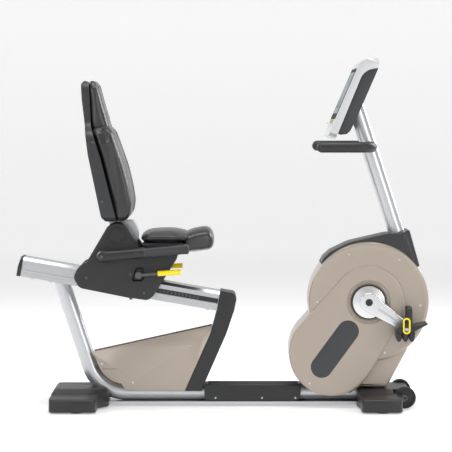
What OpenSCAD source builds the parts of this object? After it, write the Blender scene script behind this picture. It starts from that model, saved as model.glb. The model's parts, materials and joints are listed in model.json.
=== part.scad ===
// Recumbent exercise bike, millimetres, +X to the front, +Z up.
// The origin is on the floor, under the middle of the whole bike.

/* [Base] */
// Width of the feet across the floor
stance_w = 600; // [560:5:720]
// X of the rear crossbar
rear_bar_x = -566; // [-600:1:-540]
// X of the front crossbar
front_bar_x = 622; // [600:1:650]
// Radius of the frame tube and of the mast
tube_r = 32; // [28:1:36]
// Radius of the frame tube's bend
bend_r = 150; // [120:1:180]
// X where the two straight runs of the frame tube would meet
bend_x = -492; // [-510:1:-475]
// Lean of the frame tube behind vertical
tube_lean = 18.5; // [14:0.5:22]
// Thickness of the floor pads
pad_t = 8; // [6:1:12]
// Thickness of the base plate
plate_t = 12; // [10:1:14]
// Width of the base plate
plate_w = 120; // [100:1:140]
// Front edge of the step cover
step_x1 = 310; // [280:1:330]
// Half width of the step cover
step_half = 58; // [46:1:70]
// X of the transport wheels' axle
wheel_x = 719; // [705:1:730]
// Radius of a transport wheel
wheel_r = 42; // [30:1:43]

/* [Seat rail] */
// Length of the rail
rail_len = 810; // [780:1:830]
// Width of the rail
rail_w = 140; // [120:1:150]
// Height of the rail's section
rail_h = 76; // [70:1:84]
// Slope of the rail, down to the front
rail_tilt = 10; // [6:0.5:12]
// X of the rail's rear end
rail_x = -791; // [-800:1:-780]
// Height of the rail's axis at its rear end
rail_z = 556; // [540:1:570]
// Distance between two seat positions
rack_pitch = 15; // [12:0.5:18]
// X of the foot of the front post
post_x = -115; // [-125:1:-100]
// Length of the front post's section, along the bike
post_l = 63; // [56:1:70]
// Width of the front post and of the side panels
post_w = 92; // [88:1:110]

/* [Seat] */
// Distance along the rail from its rear end to the carriage
seat_u = 395; // [300:1:480]
// Half width over the carriage covers
carriage_half = 150; // [130:1:160]
// Half width between the two seat handles
handle_half = 200; // [190:1:215]
// Half width of the seat cushion
seat_half = 210; // [190:1:225]
// Half width of the backrest at its side bolsters
back_half = 205; // [180:1:220]
// Half width of the backrest's upper part
head_half = 140; // [120:1:160]
// Radius of the rollers that run on top of the rail
roller_r = 17; // [14:1:20]

/* [Drive] */
// X of the crank axis
crank_x = 577; // [570:1:590]
// Height of the crank axis
crank_z = 419; // [400:1:430]
// Length of a crank
crank_len = 170; // [150:1:180]
// Angle of the right crank below the front
crank_angle = 34; // [0:1:90]
// Radius of the big round cover
disc_r = 237; // [225:1:245]
// Radius of the lower round cover
drum_r = 169; // [155:1:175]
// Half width of the drive covers
cover_half = 105; // [95:1:110]
// Distance of each crank arm's middle plane from the centre
arm_y = 124; // [118:1:132]
// Width of a pedal, from its inner to its outer edge
pedal_w = 96; // [80:1:110]
// Radius of the flywheel
flywheel_r = 122; // [90:1:128]

/* [Mast] */
// Length of the mast from its socket to the console
mast_len = 612; // [500:1:700]
// Lean of the mast towards the rider
mast_tilt = 18; // [12:0.5:22]
// Distance up the mast to the handlebar
bar_up = 462; // [420:1:480]
// Half width of the handlebar
bar_half = 230; // [200:1:260]
// Reach of the handlebar's grips behind the mast
bar_reach = 190; // [180:1:240]
// Radius of the handlebar's grips
grip_r = 21; // [17:1:24]
// Width of the console
console_w = 400; // [320:1:440]
// Lean of the console's face behind vertical
console_tilt = 23.4; // [18:0.1:30]

/* [Fits] */
// Wall of the moulded covers
wall = 3; // [2:0.5:4]
// Gap between pieces that move past each other
gap = 0.4; // [0.3:0.1:1]
// Gap round a piece that is fixed in another
seat_gap = 0.2; // [0.1:0.05:0.4]
// Radial gap of a shaft in its bearing
run_fit = 0.05; // [0.02:0.01:0.1]
// Radius of the crank spindle
spindle_r = 10; // [8:1:12]
// Radius of the flywheel's shaft
shaft_r = 8; // [6:1:10]
// Travel of a console key
key_travel = 1.5; // [1:0.1:2]
// Radius of a cover screw's head
screw_r = 4.5; // [3:0.5:6]

/* [Hidden] */
$fn = 64;

// Far past any solid that a cut has to clear
far = 600;
mould_black = "#2b2c2e";
champagne = "#a79a8e";

// Joints and seats that several pieces share
plate_top = pad_t + plate_t;
tube_z = plate_top + tube_r;
tube_top = tube_z + tube_r;
tube_wall = 3;
bend_turn = 90 - tube_lean;
bend_run = bend_r * tan(bend_turn / 2);
bar_l = 50;
bar_h = 30;
cover_low = pad_t - 2;
carriage_x = rail_x + seat_u * cos(rail_tilt);
carriage_z = rail_z - seat_u * sin(rail_tilt);
tilt_x = -9;
tilt_z = 195;
lever_x = 76;
lever_z = 43;
lower_r = 9;
axle_r = 5;
side_plate_in = rail_w / 2 + 6;
side_plate_t = 6;
side_plate_out = side_plate_in + side_plate_t;
drum_x = -145;
drum_z = -202;
crank_hole_r = 70;
pill_r = 143;
pill_rise = 7;
plate_in = tube_r + seat_gap;
plate_out = plate_in + 6;
mast_foot_x = 148;
mast_foot_z = 171;
belt_y = plate_out + 8;
belt_w = 14;
belt_t = 3;
pulley_r = 105;
small_pulley_r = 22;
console_d = 76;
console_v = 97;

// Outline with each corner rounded: [x, y, radius] for each point
function unit(v) = v / norm(v);
function turn(a, b, c) = sign((b[0] - a[0]) * (c[1] - b[1]) - (b[1] - a[1]) * (c[0] - b[0]));
function corner(a, b, c, r, n) =
    let (u = unit(a - b), v = unit(c - b), half = acos(max(-1, min(1, u * v))) / 2)
    r < 0.01 || half > 89.5 ? [b] :
    let (m = b + unit(u + v) * r / sin(half), start = b + u * r / tan(half) - m,
         sweep = (180 - 2 * half) * turn(a, b, c))
    [for (i = [0:n]) let (t = sweep * i / n)
        m + [start[0] * cos(t) - start[1] * sin(t), start[0] * sin(t) + start[1] * cos(t)]];
function round_poly(p, n = 6) = [for (i = [0:len(p) - 1])
    let (a = p[(i + len(p) - 1) % len(p)], b = p[i], c = p[(i + 1) % len(p)])
    for (q = corner([a[0], a[1]], [b[0], b[1]], [c[0], c[1]], b[2], n)) q];
function arc(cx, cy, r, a0, a1, n = 12) =
    [for (i = [0:n]) let (t = a0 + (a1 - a0) * i / n) [cx + r * cos(t), cy + r * sin(t)]];

// Outline drawn in XZ, made solid from y0 to y1
module slab(y0, y1) translate([0, y1, 0]) rotate([90, 0, 0]) linear_extrude(y1 - y0) children();
// Round bar along Y
module rod(x, z, r, y0, y1) translate([x, y0, z]) rotate([-90, 0, 0]) cylinder(r = r, h = y1 - y0);
module ring(x, z, r, hole, y0, y1) difference() {
    rod(x, z, r, y0, y1);
    rod(x, z, hole, y0 - 1, y1 + 1);
}
// Round bar between two points of the XZ plane, at height y
module bar(x0, z0, x1, z1, y, r) {
    len = norm([x1 - x0, z1 - z0]);
    translate([x0, y, z0]) rotate([0, atan2(x1 - x0, z1 - z0), 0]) cylinder(r = r, h = len);
}
// Two circles and the straight sides that touch both, as one outline
module pill(x0, z0, r0, x1, z1, r1) {
    a = atan2(z1 - z0, x1 - x0);
    t = acos((r0 - r1) / norm([x1 - x0, z1 - z0]));
    polygon(concat(arc(x0, z0, r0, a + t, a + 360 - t, 32), arc(x1, z1, r1, a - t, a + t, 32)));
}
module both() {
    children();
    mirror([0, 1, 0]) children();
}
module on_rail() translate([rail_x, 0, rail_z]) rotate([0, rail_tilt, 0]) children();
module on_carriage() translate([carriage_x, 0, carriage_z]) children();
module on_drive() translate([crank_x, 0, crank_z]) children();
module on_mast() on_drive() translate([mast_foot_x, 0, mast_foot_z]) rotate([0, -mast_tilt, 0]) children();
// Console frame: X runs into the console from its face, Z up the face
module on_console() on_mast() translate([0, 0, mast_len]) rotate([0, mast_tilt + console_tilt, 0])
    translate([-console_d, 0, -console_v]) children();
// Screw head along Y, with its washer face at y
module screw(x, z, y, r = screw_r) rod(x, z, r, y, y + 2);

// ---- Base ----
// Solid of radius r along the frame tube
module tube_path(r, ends = 0) {
    translate([bend_x + bend_run, 0, tube_z]) rotate([0, 90, 0])
        cylinder(r = r, h = front_bar_x - bar_l / 2 - bend_x - bend_run + ends);
    translate([bend_x + bend_run, 0, tube_z + bend_r]) rotate([90, 0, 0]) rotate([0, 0, -90 - bend_turn])
        rotate_extrude(angle = bend_turn) translate([bend_r, 0]) circle(r);
    translate([bend_x, 0, tube_z]) rotate([0, -tube_lean, 0]) translate([0, 0, bend_run])
        cylinder(r = r, h = far);
}
module base_tube() {
    run = front_bar_x - bar_l / 2 - bend_x - bend_run;
    color("#d4d6d8") translate([bend_x + bend_run, 0, tube_z]) rotate([0, 90, 0]) difference() {
        cylinder(r = tube_r, h = run);
        translate([0, 0, -1]) cylinder(r = tube_r - tube_wall, h = run + 2);
    }
}
module tube_bend() {
    color("#d4d6d8") translate([bend_x + bend_run, 0, tube_z + bend_r]) rotate([90, 0, 0])
        rotate([0, 0, -90 - bend_turn]) rotate_extrude(angle = bend_turn)
            translate([bend_r, 0]) difference() {
            circle(tube_r);
            circle(tube_r - tube_wall);
        }
}
module seat_upright() {
    color("#d4d6d8") difference() {
        translate([bend_x, 0, tube_z]) rotate([0, -tube_lean, 0]) difference() {
            translate([0, 0, bend_run]) cylinder(r = tube_r, h = far);
            translate([0, 0, bend_run + tube_wall]) cylinder(r = tube_r - tube_wall, h = 2 * far);
        }
        on_rail() translate([-far, -far, -rail_h / 2]) cube([2 * far, 2 * far, 2 * far]);
    }
}
module base_plate() {
    color("#8b8e91") translate([rear_bar_x - bar_l / 2, -plate_w / 2, pad_t])
        cube([front_bar_x - rear_bar_x + bar_l, plate_w, plate_t]);
}
module crossbar(x) translate([x - bar_l / 2, 0, plate_top]) difference() {
    translate([0, -stance_w / 2 + 20, 0]) cube([bar_l, stance_w - 40, bar_h]);
    translate([tube_wall, -stance_w, tube_wall])
        cube([bar_l - 2 * tube_wall, 2 * stance_w, bar_h - 2 * tube_wall]);
}
module crossbars() {
    color("#5c5f63") {
        crossbar(rear_bar_x);
        crossbar(front_bar_x);
    }
}
// Outer or inner form of a foot cover: x runs from the narrow ends' edges to the wide middle's
module foot_form(x, end0, end1, mid0, mid1, inset) translate([x, 0, 0]) {
    half = stance_w / 2 - inset;
    e0 = end0 + inset;
    e1 = end1 - inset;
    m0 = mid0 + inset;
    m1 = mid1 - inset;
    top = plate_top + 56 - inset;
    end_top = plate_top + 36 - inset;
    low = cover_low - inset;
    intersection() {
        translate([0, 0, low]) linear_extrude(top - low)
            polygon(round_poly([[e0, -half, 26], [e1, -half, 26], [e1, -165, 40], [m1, -100, 40],
                [m1, 100, 40],
                [e1, 165, 40], [e1, half, 26], [e0, half, 26], [e0, 165, 40], [m0, 100, 40], [m0, -100, 40],
                [e0, -165, 40]]));
        slab(-half, half) polygon(round_poly([[m0, low, 0], [m1, low, 0], [m1 - 2, top, 20],
            [m0 + 2, top, 20]]));
        translate([m0, 0, 0]) rotate([90, 0, 90]) linear_extrude(m1 - m0)
            polygon(round_poly([[-half, low, 0], [half, low, 0], [half - 2, end_top, 14],
                [170, end_top + 2, 60],
                [105, top, 60], [-105, top, 60], [-170, end_top + 2, 60], [2 - half, end_top, 14]]));
    }
}
module base_cuts() {
    tube_path(tube_r + seat_gap, 1);
    translate([rear_bar_x - bar_l / 2 - seat_gap, -plate_w / 2 - seat_gap, -1])
        cube([front_bar_x - rear_bar_x + bar_l + 2 * seat_gap, plate_w + 2 * seat_gap,
            plate_top + 1 + seat_gap]);
}
module rear_foot_cover() {
    color(mould_black) difference() {
        foot_form(rear_bar_x, -106, 77, -106, 117, 0);
        foot_form(rear_bar_x, -106, 77, -106, 117, wall);
        base_cuts();
    }
}
wheel_in = 118;
wheel_w = 28;
wheel_z = 45;
module front_foot_cover() {
    color(mould_black) difference() {
        foot_form(front_bar_x, -81, 77, -90, 124, 0);
        foot_form(front_bar_x, -81, 77, -90, 124, wall);
        base_cuts();
        both() translate([wheel_x - wheel_r - 5, wheel_in - 9, -1]) cube([far, wheel_w + 18, far]);
    }
}
module floor_pads() {
    color("#1d1e1f") for (x = [rear_bar_x, front_bar_x]) both() translate([x, stance_w / 2 - 48, 0]) {
        cylinder(r = 24, h = pad_t);
        cylinder(r = 7, h = plate_top);
    }
}
module wheel_brackets() {
    color("#5c5f63") both() for (y = [wheel_in - 8, wheel_in + wheel_w + 3]) difference() {
        slab(y, y + 5) polygon(round_poly([[front_bar_x + bar_l / 2, plate_top, 2],
            [wheel_x, wheel_z - 14, 12],
            [wheel_x + 14, wheel_z, 12], [wheel_x, wheel_z + 14, 12],
                [front_bar_x + bar_l / 2, plate_top + bar_h, 2]]));
        rod(wheel_x, wheel_z, axle_r + run_fit, y - 1, y + 6);
    }
}
module transport_wheel(side) scale([1, side, 1]) {
    difference() {
        rod(wheel_x, wheel_z, wheel_r, wheel_in, wheel_in + wheel_w);
        for (y = [wheel_in - 1, wheel_in + wheel_w - 5]) ring(wheel_x, wheel_z, wheel_r - 8, 12, y, y + 6);
    }
    rod(wheel_x, wheel_z, axle_r, wheel_in - 9, wheel_in + wheel_w + 9);
}
module transport_wheel_right() color("#38393b") mirror([0, 1, 0]) transport_wheel(1);
module transport_wheel_left() color("#38393b") transport_wheel(1);

// ---- Rail and post ----
side_groove = 22;
groove_d = 6;
rail_wall = 4;
bevel = 11;
module rail_outline(grow = 0) {
    a = rail_w / 2 + grow;
    h = rail_h / 2 + grow;
    polygon([[-a, -h], [a, -h], [a, h - bevel], [a - bevel, h], [bevel - a, h], [-a, h - bevel]]);
}
module seat_rail() {
    color("#c9ccce") on_rail() rotate([90, 0, 90]) linear_extrude(rail_len) difference() {
        rail_outline();
        difference() {
            rail_outline(-rail_wall);
            for (s = [-1, 1]) translate([s * rail_w / 2, 0])
                square([2 * (groove_d + rail_wall), side_groove + 8], true);
        }
        for (s = [-1, 1]) {
            translate([s * rail_w / 2, 0]) square([2 * groove_d, side_groove], true);
            translate([s * rail_w / 2, 18]) square([3, 3], true);
            translate([s * rail_w / 2, -22]) square([3, 3], true);
        }
    }
}
cap_t = 16;
module rail_end_cap() {
    color(mould_black) on_rail() {
        intersection() {
            translate([-cap_t, 0, 0]) rotate([90, 0, 90]) linear_extrude(cap_t) rail_outline(1);
            slab(-rail_w, rail_w) polygon(round_poly([[0, -rail_h, 0], [0, rail_h, 0],
                [-cap_t * 0.6, rail_h / 2 + 2, 14],
                [-cap_t, 0, 60], [-cap_t, -rail_h / 2 - 2, 8]]));
        }
    }
}
rack_x0 = 300;
rack_t = 4;
rack_h = 18;
module seat_rack() {
    color("#202124") on_rail() translate([0, -rail_w / 2 + groove_d, 0]) difference() {
        translate([rack_x0, -rack_t, -rack_h / 2]) cube([rail_len - 24 - rack_x0, rack_t, rack_h]);
        for (u = [rack_x0 + rack_pitch : rack_pitch : rail_len - 95])
            translate([u - 4, -rack_t - 1, -rack_h / 2 + 3]) cube([8, rack_t + 2, rack_h - 6]);
    }
}
cap_back = 22;
cap_front = 45;
cap_half = rail_w / 2 + 8;
// Lower end of the rail, on its underside, and the knee of the post below it
rail_end_x = rail_x + rail_len * cos(rail_tilt);
rail_end_z = rail_z - rail_len * sin(rail_tilt) - rail_h / 2;
post_low = tube_z + 8;
knee_x = rail_end_x - 22;
knee_z = rail_end_z - 90;
top_x = rail_end_x + 4;
top_z = rail_end_z + 8;
module front_post() {
    color(mould_black) difference() {
        union() {
            slab(-post_w / 2, post_w / 2) polygon(round_poly([[post_x - post_l / 2, post_low, 0],
                [post_x + post_l / 2, post_low, 0], [knee_x + post_l / 2, knee_z, 300],
                [top_x + 4 + post_l / 2, rail_end_z, 0], [top_x - post_l / 2, top_z, 0],
                [knee_x - post_l / 2, knee_z, 300]]));
            on_rail() translate([rail_len, 0, 0]) slab(-cap_half, cap_half) polygon(round_poly([
                [-cap_back, -rail_h / 2 - 4, 4], [cap_front, -rail_h / 2 - 4, 14], [cap_front + 2, 20, 10],
                [cap_front - 8, rail_h / 2 + 4, 16], [-cap_back, rail_h / 2 + 4, 3]]));
        }
        on_rail() rotate([90, 0, 90]) linear_extrude(rail_len) rail_outline(seat_gap);
        translate([bend_x, 0, tube_z]) rotate([0, 90, 0]) cylinder(r = tube_r, h = far);
    }
}
// Side panels fill the frame between the tube and the front post
post_lean = atan2(knee_x - post_x, knee_z - post_low);
upper_lean = atan2(top_x - knee_x, top_z - knee_z);
post_back = post_x - post_l / 2;
panel_gap = 1.5;
panel_top = 320;
panel_low = tube_z + 10;
panel_r = bend_r - tube_r - 4;
module panel_outline(inset) {
    knee = knee_x - post_l / 2 - panel_gap - inset;
    polygon(concat(
        [[post_back - panel_gap - inset * 1.1, panel_low + inset], [knee, knee_z],
            [knee + (panel_top - knee_z) * tan(upper_lean), panel_top - inset * 0.8]],
        [[bend_x - (216 - tube_z) * tan(tube_lean) + tube_r + 2 + inset, 216 - inset * 0.8]],
        arc(bend_x + bend_run, tube_z + bend_r, panel_r - inset, 180 + tube_lean, 262, 12),
        [[bend_x + bend_run, panel_low + inset]]));
}
module side_panel() difference() {
    slab(tube_r + 1, post_w / 2) panel_outline(0);
    slab(0, post_w / 2 - wall) panel_outline(wall);
    for (p = panel_screws) rod(p[0], p[1], screw_r - 1.5, 0, far);
}
panel_screws = [[bend_x + 14, 168], [bend_x + 138, 94], [post_x - 12, 240]];
module side_panel_left() color(champagne) side_panel();
module side_panel_right() color(champagne) mirror([0, 1, 0]) side_panel();
module panel_spacers() {
    color("#8b8e91") for (p = panel_screws)
        rod(p[0], p[1], 8, -post_w / 2 + wall, post_w / 2 - wall);
}
step_top = tube_top + 2 + wall;
step_x0 = post_x + post_l / 2 + (step_top - post_low) * tan(post_lean) + gap;
module step_cover() {
    color(mould_black) difference() {
        intersection() {
            slab(-step_half, step_half) polygon(round_poly([[step_x0, plate_top + 1, 14],
                [step_x1 - 4, plate_top + 1, 24],
                [step_x1 + 6, step_top, 3], [step_x0, step_top, 3]]));
            translate([step_x0, 0, 0]) rotate([90, 0, 90]) linear_extrude(far)
                polygon(round_poly([[-step_half, 0, 0], [step_half, 0, 0], [step_half - 4, step_top, 12],
                    [4 - step_half, step_top, 12]]));
        }
        translate([step_x0 - 1, 0, 0]) rotate([90, 0, 90]) linear_extrude(far)
            polygon(round_poly([[wall - step_half, 0, 0], [step_half - wall, 0, 0],
                [step_half - 4 - wall, step_top - wall, 9], [4 + wall - step_half, step_top - wall, 9]]));
    }
}

// ---- Drive ----
module mast_axis(r, s0, s1) translate([mast_foot_x, 0, mast_foot_z]) rotate([0, -mast_tilt, 0])
    translate([0, 0, s0]) cylinder(r = r, h = s1 - s0);
shell_r = 30;
sleeve_l = 66;
module drive_frame() {
    color("#5c5f63") on_drive() difference() {
        union() {
            both() slab(plate_in, plate_out) polygon(round_poly([[-190, tube_z - crank_z, 10],
                [-64, tube_z - crank_z, 10],
                [70, -100, 60], [130, 100, 60], [180, 150, 20], [160, 232, 20], [98, 214, 20], [30, 90, 40],
                [-50, 50, 40], [-185, -160, 30]]));
            rod(0, 0, shell_r, -plate_out, plate_out);
            mast_axis(plate_out, -6, sleeve_l);
        }
        rod(0, 0, 21, -plate_out - 1, plate_out + 1);
        rod(drum_x, drum_z, shaft_r + run_fit, -plate_out - 1, plate_out + 1);
        mast_axis(tube_r + seat_gap, 0, far);
        translate([-far, -plate_in, -far - 60]) cube([far + 64, 2 * plate_in, far]);
    }
}
module crank_bearings() {
    color("#b9bcc0") on_drive() both() ring(0, 0, 21, spindle_r + run_fit, plate_out - 12, plate_out);
}
skirt_half = cover_half - 18;
// Form of one drive cover, on the left side, shrunk by inset
module drive_form(inset) {
    rod(0, 0, disc_r - inset, 0.2, cover_half - inset);
    slab(0.2, cover_half + pill_rise - inset) pill(0, 0, pill_r - inset, drum_x, drum_z, drum_r - inset);
    slab(0.2, skirt_half - inset) polygon(round_poly([[0, 0, 0], [167 - 0.9 * inset, -168, 8],
        [76 - 0.9 * inset, -337, 8], [72 - inset, plate_top + 58 - crank_z + inset, 4],
        [drum_x + 60, plate_top + 58 - crank_z + inset, 0]]));
}
module drive_cover() on_drive() difference() {
    drive_form(0);
    difference() {
        drive_form(wall);
        // Screw posts stay standing inside the shell
        for (p = cover_screws_at) rod(p[0], p[1], 6, 0, far);
        rod(0, 0, crank_hole_r + 20, cover_half - 14, far);
    }
    rod(0, 0, crank_hole_r, -1, far);
    translate([0, cover_half + pill_rise - 10, 0]) rotate([-90, 0, 0])
        cylinder(r1 = crank_hole_r, r2 = crank_hole_r + 17, h = 10.01);
    mast_axis(plate_out + gap, -60, far);
    // Slot for the drive frame's plates on their way to the mast
    slab(-1, plate_out + gap) polygon([[20, 120], [170, 90], [240, 160], [200, 280], [60, 260]]);
    translate([-far, -1, -far - crank_z]) cube([2 * far, plate_out + gap + 1, far + tube_top + gap]);
    slab(-1, badge_half) badge_outline(gap);
}
badge_half = cover_half + pill_rise + 1;
badge_t = 3;
module badge_outline(grow) pill(-82, -115, 45 + grow, -185, -256, 45 + grow);
cover_screws_at = [[-78, 188], [120, 167], [-203, 0], [203, -13], [63, -200], [-233, -321]];
module drive_cover_left() color(champagne) drive_cover();
module drive_cover_right() color(champagne) mirror([0, 1, 0]) drive_cover();
module drive_badges() {
    color("#3c3e42") on_drive() both() slab(badge_half - badge_t - 1, badge_half) badge_outline(0);
}
module cover_screws() {
    color("#9ea1a4") {
        on_drive() both() for (p = cover_screws_at)
            screw(p[0], p[1], norm(p - [drum_x, drum_z]) < drum_r ? cover_half + pill_rise : cover_half);
        both() for (i = [0, 1]) screw(panel_screws[i][0], panel_screws[i][1], post_w / 2);
        both() for (x = [step_x0 + 44, step_x1 - 152, step_x1 - 20]) screw(x, plate_top + 14,
            step_half - 0.4, 3.5);
        on_rail() for (u = [48, 120, rail_len - 60]) translate([u, 0, -rail_h / 2 - 4]) both()
            translate([0, rail_w / 2 - 16, 0]) cylinder(r = 6, h = 4);
    }
}
module belt_outline(grow) pill(0, 0, pulley_r + grow, drum_x, drum_z, small_pulley_r + grow);
module drive_belt() {
    color("#1d1e1f") on_drive() slab(belt_y, belt_y + belt_w) difference() {
        belt_outline(gap + belt_t);
        belt_outline(gap);
    }
}
module flywheel() {
    color("#6c6f73") on_drive() {
        difference() {
            rod(drum_x, drum_z, flywheel_r, -20, 20);
            both() ring(drum_x, drum_z, flywheel_r - 22, 30, 8, 21);
            rod(drum_x, drum_z, shaft_r, -21, 21);
        }
        rod(drum_x, drum_z, shaft_r, -plate_out - 6, belt_y + belt_w + 4);
        ring(drum_x, drum_z, small_pulley_r, shaft_r, belt_y - 2, belt_y + belt_w + 2);
    }
}
module crank_spindle() color("#b9bcc0") on_drive() rod(0, 0, spindle_r, -arm_y + 8, arm_y - 8);
module crank_pulley() {
    color("#8b8e91") on_drive() difference() {
        union() {
            rod(0, 0, pulley_r, belt_y, belt_y + belt_w);
            rod(0, 0, 26, belt_y - 4, belt_y + belt_w + 6);
        }
        rod(0, 0, spindle_r, 0, far);
        for (a = [0 : 60 : 300]) rod(66 * cos(a), 66 * sin(a), 22, belt_y - 1, belt_y + belt_w + 1);
    }
}
arm_half = 8;
pedal_axle_r = 7;
boss_r = 21;
arm_x = crank_len * cos(crank_angle);
arm_z = -crank_len * sin(crank_angle);
disc_face = arm_y - arm_half;
module crank_arm() {
    difference() {
        union() {
            slab(disc_face, arm_y + arm_half) pill(0, 0, 38, arm_x, arm_z, boss_r);
            rod(0, 0, crank_hole_r - 6, disc_face - 14, disc_face + 3);
        }
        rod(0, 0, spindle_r, 0, disc_face);
        rod(0, 0, 14.5, arm_y + arm_half - 3, far);
        rod(arm_x, arm_z, pedal_axle_r, 0, far);
    }
    rod(0, 0, 14, arm_y + arm_half - 3, arm_y + arm_half - 1);
    rod(arm_x, arm_z, pedal_axle_r, arm_y - arm_half, arm_y + arm_half + 6 + pedal_w);
}
module crank_arms() {
    color("#dcdee0") on_drive() {
        mirror([0, 1, 0]) crank_arm();
        rotate([0, 180, 0]) crank_arm();
    }
}
pedal_y = arm_y + arm_half + 6;
// Pedal about its own axle, on the left side
module pedal_form() slab(pedal_y, pedal_y + pedal_w) difference() {
    polygon(round_poly([[-44, -12, 4], [-30, 12, 6], [20, 12, 6], [80, 24, 2], [80, 17, 2], [34, -6, 6],
        [31, -36, 6], [26, -50, 5], [14, -50, 5], [8, -36, 6], [7, -16, 0.5], [6, -36, 6],
            [1, -50, 5], [-11, -50, 5],
        [-16, -36, 6], [-17, -16, 0.5], [-18, -36, 6], [-24, -50, 5], [-36, -50, 5], [-42, -36, 6],
            [-40, -16, 2]]));
    circle(pedal_axle_r + run_fit);
}
strap_t = 3;
module strap_form() {
    y0 = pedal_y - 3 - strap_t;
    y1 = pedal_y + pedal_w;
    for (y = [y0 + strap_t, y1]) translate([10, 0, 0]) slab(y, y + strap_t)
        polygon(round_poly([[-18, 10, 3], [12, 10, 3], [9, 82, 2], [-12, 82, 2]]));
    translate([10, 0, 0]) slab(y0 + strap_t, y1 + strap_t)
        polygon(round_poly([[-12, 82, 1], [9, 82, 1], [9, 82 + strap_t, 1], [-12, 82 + strap_t, 1]]));
    slab(y1 + strap_t, y1 + strap_t + 5) difference() {
        pill(3, -4, 15, 3, 26, 15);
        pill(3, -4, 9, 3, 26, 9);
    }
}
module at_pedal(side) on_drive() translate([side * arm_x, 0, side * arm_z]) children();
module pedal_right() color(mould_black) at_pedal(1) mirror([0, 1, 0]) pedal_form();
module pedal_left() color(mould_black) at_pedal(-1) pedal_form();
module pedal_strap_right() color("#f4dc00") at_pedal(1) mirror([0, 1, 0]) strap_form();
module pedal_strap_left() color("#f4dc00") at_pedal(-1) strap_form();

// ---- Mast, handlebar and console ----
module console_back_cut() on_console()
    translate([-2 * far + console_d, -far, -far]) cube([2 * far, 2 * far, 2 * far]);
module mast() {
    color("#d4d6d8") difference() {
        on_mast() cylinder(r = tube_r, h = mast_len + 90);
        on_mast() translate([0, 0, tube_wall]) cylinder(r = tube_r - tube_wall, h = mast_len + 90);
        console_back_cut();
        on_bar() rod(0, 0, bar_r, -far, far);
    }
}
shroud_half = 92;
module shroud_form(inset) slab(inset - shroud_half, shroud_half - inset)
    polygon(round_poly([[-188, 150 + inset, 0], [-178 + inset, 172 - inset * 0.5, 8],
        [-150, 198 - inset, 60],
        [-75, 234 - inset, 160], [72, 268 - inset, 120], [128, 270 - inset, 4],
            [160 - inset, 284 - inset, 5],
        [201 - inset, 140 + inset, 4], [0, 100, 0]]));
module mast_shroud() {
    color("#3a3b3e") on_drive() difference() {
        shroud_form(0);
        shroud_form(wall);
        rod(0, 0, disc_r + gap, -far, far);
        mast_axis(tube_r + gap, -60, far);
    }
}
bar_r = 14;
bar_bend = 58;
module on_bar() on_drive() translate([mast_foot_x - bar_up * sin(mast_tilt), 0,
    mast_foot_z + bar_up * cos(mast_tilt)]) children();
module bar_side(r, tip) {
    translate([-bar_bend, bar_half - bar_bend, 0]) rotate_extrude(angle = 90)
        translate([bar_bend, 0]) circle(r);
    translate([tip, bar_half, 0]) rotate([0, 90, 0]) cylinder(r = r, h = -tip - bar_bend);
}
module handlebar() {
    color("#2b2c2e") on_bar() {
        rod(0, 0, bar_r, bar_bend - bar_half, bar_half - bar_bend);
        both() bar_side(bar_r, -bar_reach);
    }
}
module handlebar_grips() {
    color("#1d1e1f") on_bar() both() difference() {
        union() {
            bar_side(grip_r, -bar_reach - 6);
            rod(0, 0, grip_r, tube_r + 24, bar_half - bar_bend);
            translate([-bar_reach - 6, bar_half, 0]) sphere(r = grip_r);
        }
        bar_side(bar_r, -bar_reach);
        rod(0, 0, bar_r, 0, bar_half - bar_bend);
    }
}
back_w = console_w - 24;
module console_front(w, v0, v1, r) rotate([90, 0, 90]) linear_extrude(far)
    polygon(round_poly([[-w / 2, v0, r], [w / 2, v0, r], [w / 2, v1, r], [-w / 2, v1, r]], 8));
function key_spots() = [-60, 0, 60];
key_v = 18;
key_r = 9;
key_deep = 16;
screen = [330, 195, 22];
screen_v = 42;
module console_bezel() {
    color("#d4d6d8") on_console() difference() {
        intersection() {
            slab(-console_w / 2, console_w / 2) polygon(round_poly([[0, 0, 0], [2, -45, 4],
                [32, -46, 4], [32, -13, 6],
                [27, 245, 60], [76, 277, 0], [66, 309, 10], [30, 303, 40], [0, 262, 60]]));
            translate([-1, 0, 0]) console_front(console_w, -46, 309, 30);
        }
        translate([-1, -screen[0] / 2 - seat_gap, screen_v - seat_gap])
            cube([screen[2] + 1, screen[0] + 2 * seat_gap, screen[1] + 2 * seat_gap]);
        for (y = key_spots()) translate([0, y, key_v]) rotate([0, 90, 0])
            translate([0, 0, -1]) cylinder(r = key_r + gap, h = key_deep + 1);
    }
    color("#d4d6d8") on_console() slab(-console_w / 2 + 34, console_w / 2 - 34)
        polygon(round_poly([[0, 2, 0], [-13, 5, 1], [-13, 8, 1], [0, 6, 0]]));
}
module console_screen() {
    color("#0f1012") on_console() translate([0.5, -screen[0] / 2, screen_v])
        cube([screen[2] - 0.5, screen[0], screen[1]]);
}
module console_back() {
    color("#4a4b4e") on_console() difference() {
        console_back_form(0);
        console_back_form(wall);
    }
}
module console_back_form(inset) intersection() {
    slab(inset - back_w / 2, back_w / 2 - inset) polygon(round_poly([[33 + inset, -13 + inset, 0],
        [28.3 + inset, 245 - inset, 60], [76 - inset, 276 - inset * 1.6, 2], [76 - inset, 71, 60],
            [73 - inset, 10, 30],
        [65 - inset * 0.8, -8 + inset, 10], [42, -21 + inset, 6]]));
    console_front(back_w - 2 * inset, -34 + inset, 309 - inset, 26);
}
module key(y) on_console() translate([0, y, key_v]) rotate([0, 90, 0]) translate([0, 0, -2])
    cylinder(r = key_r, h = key_deep + 2 - key_travel - 1);
module key_start() color("#f4dc00") key(key_spots()[1]);
module key_up() color("#8b8e91") key(key_spots()[2]);
module key_down() color("#8b8e91") key(key_spots()[0]);

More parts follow.
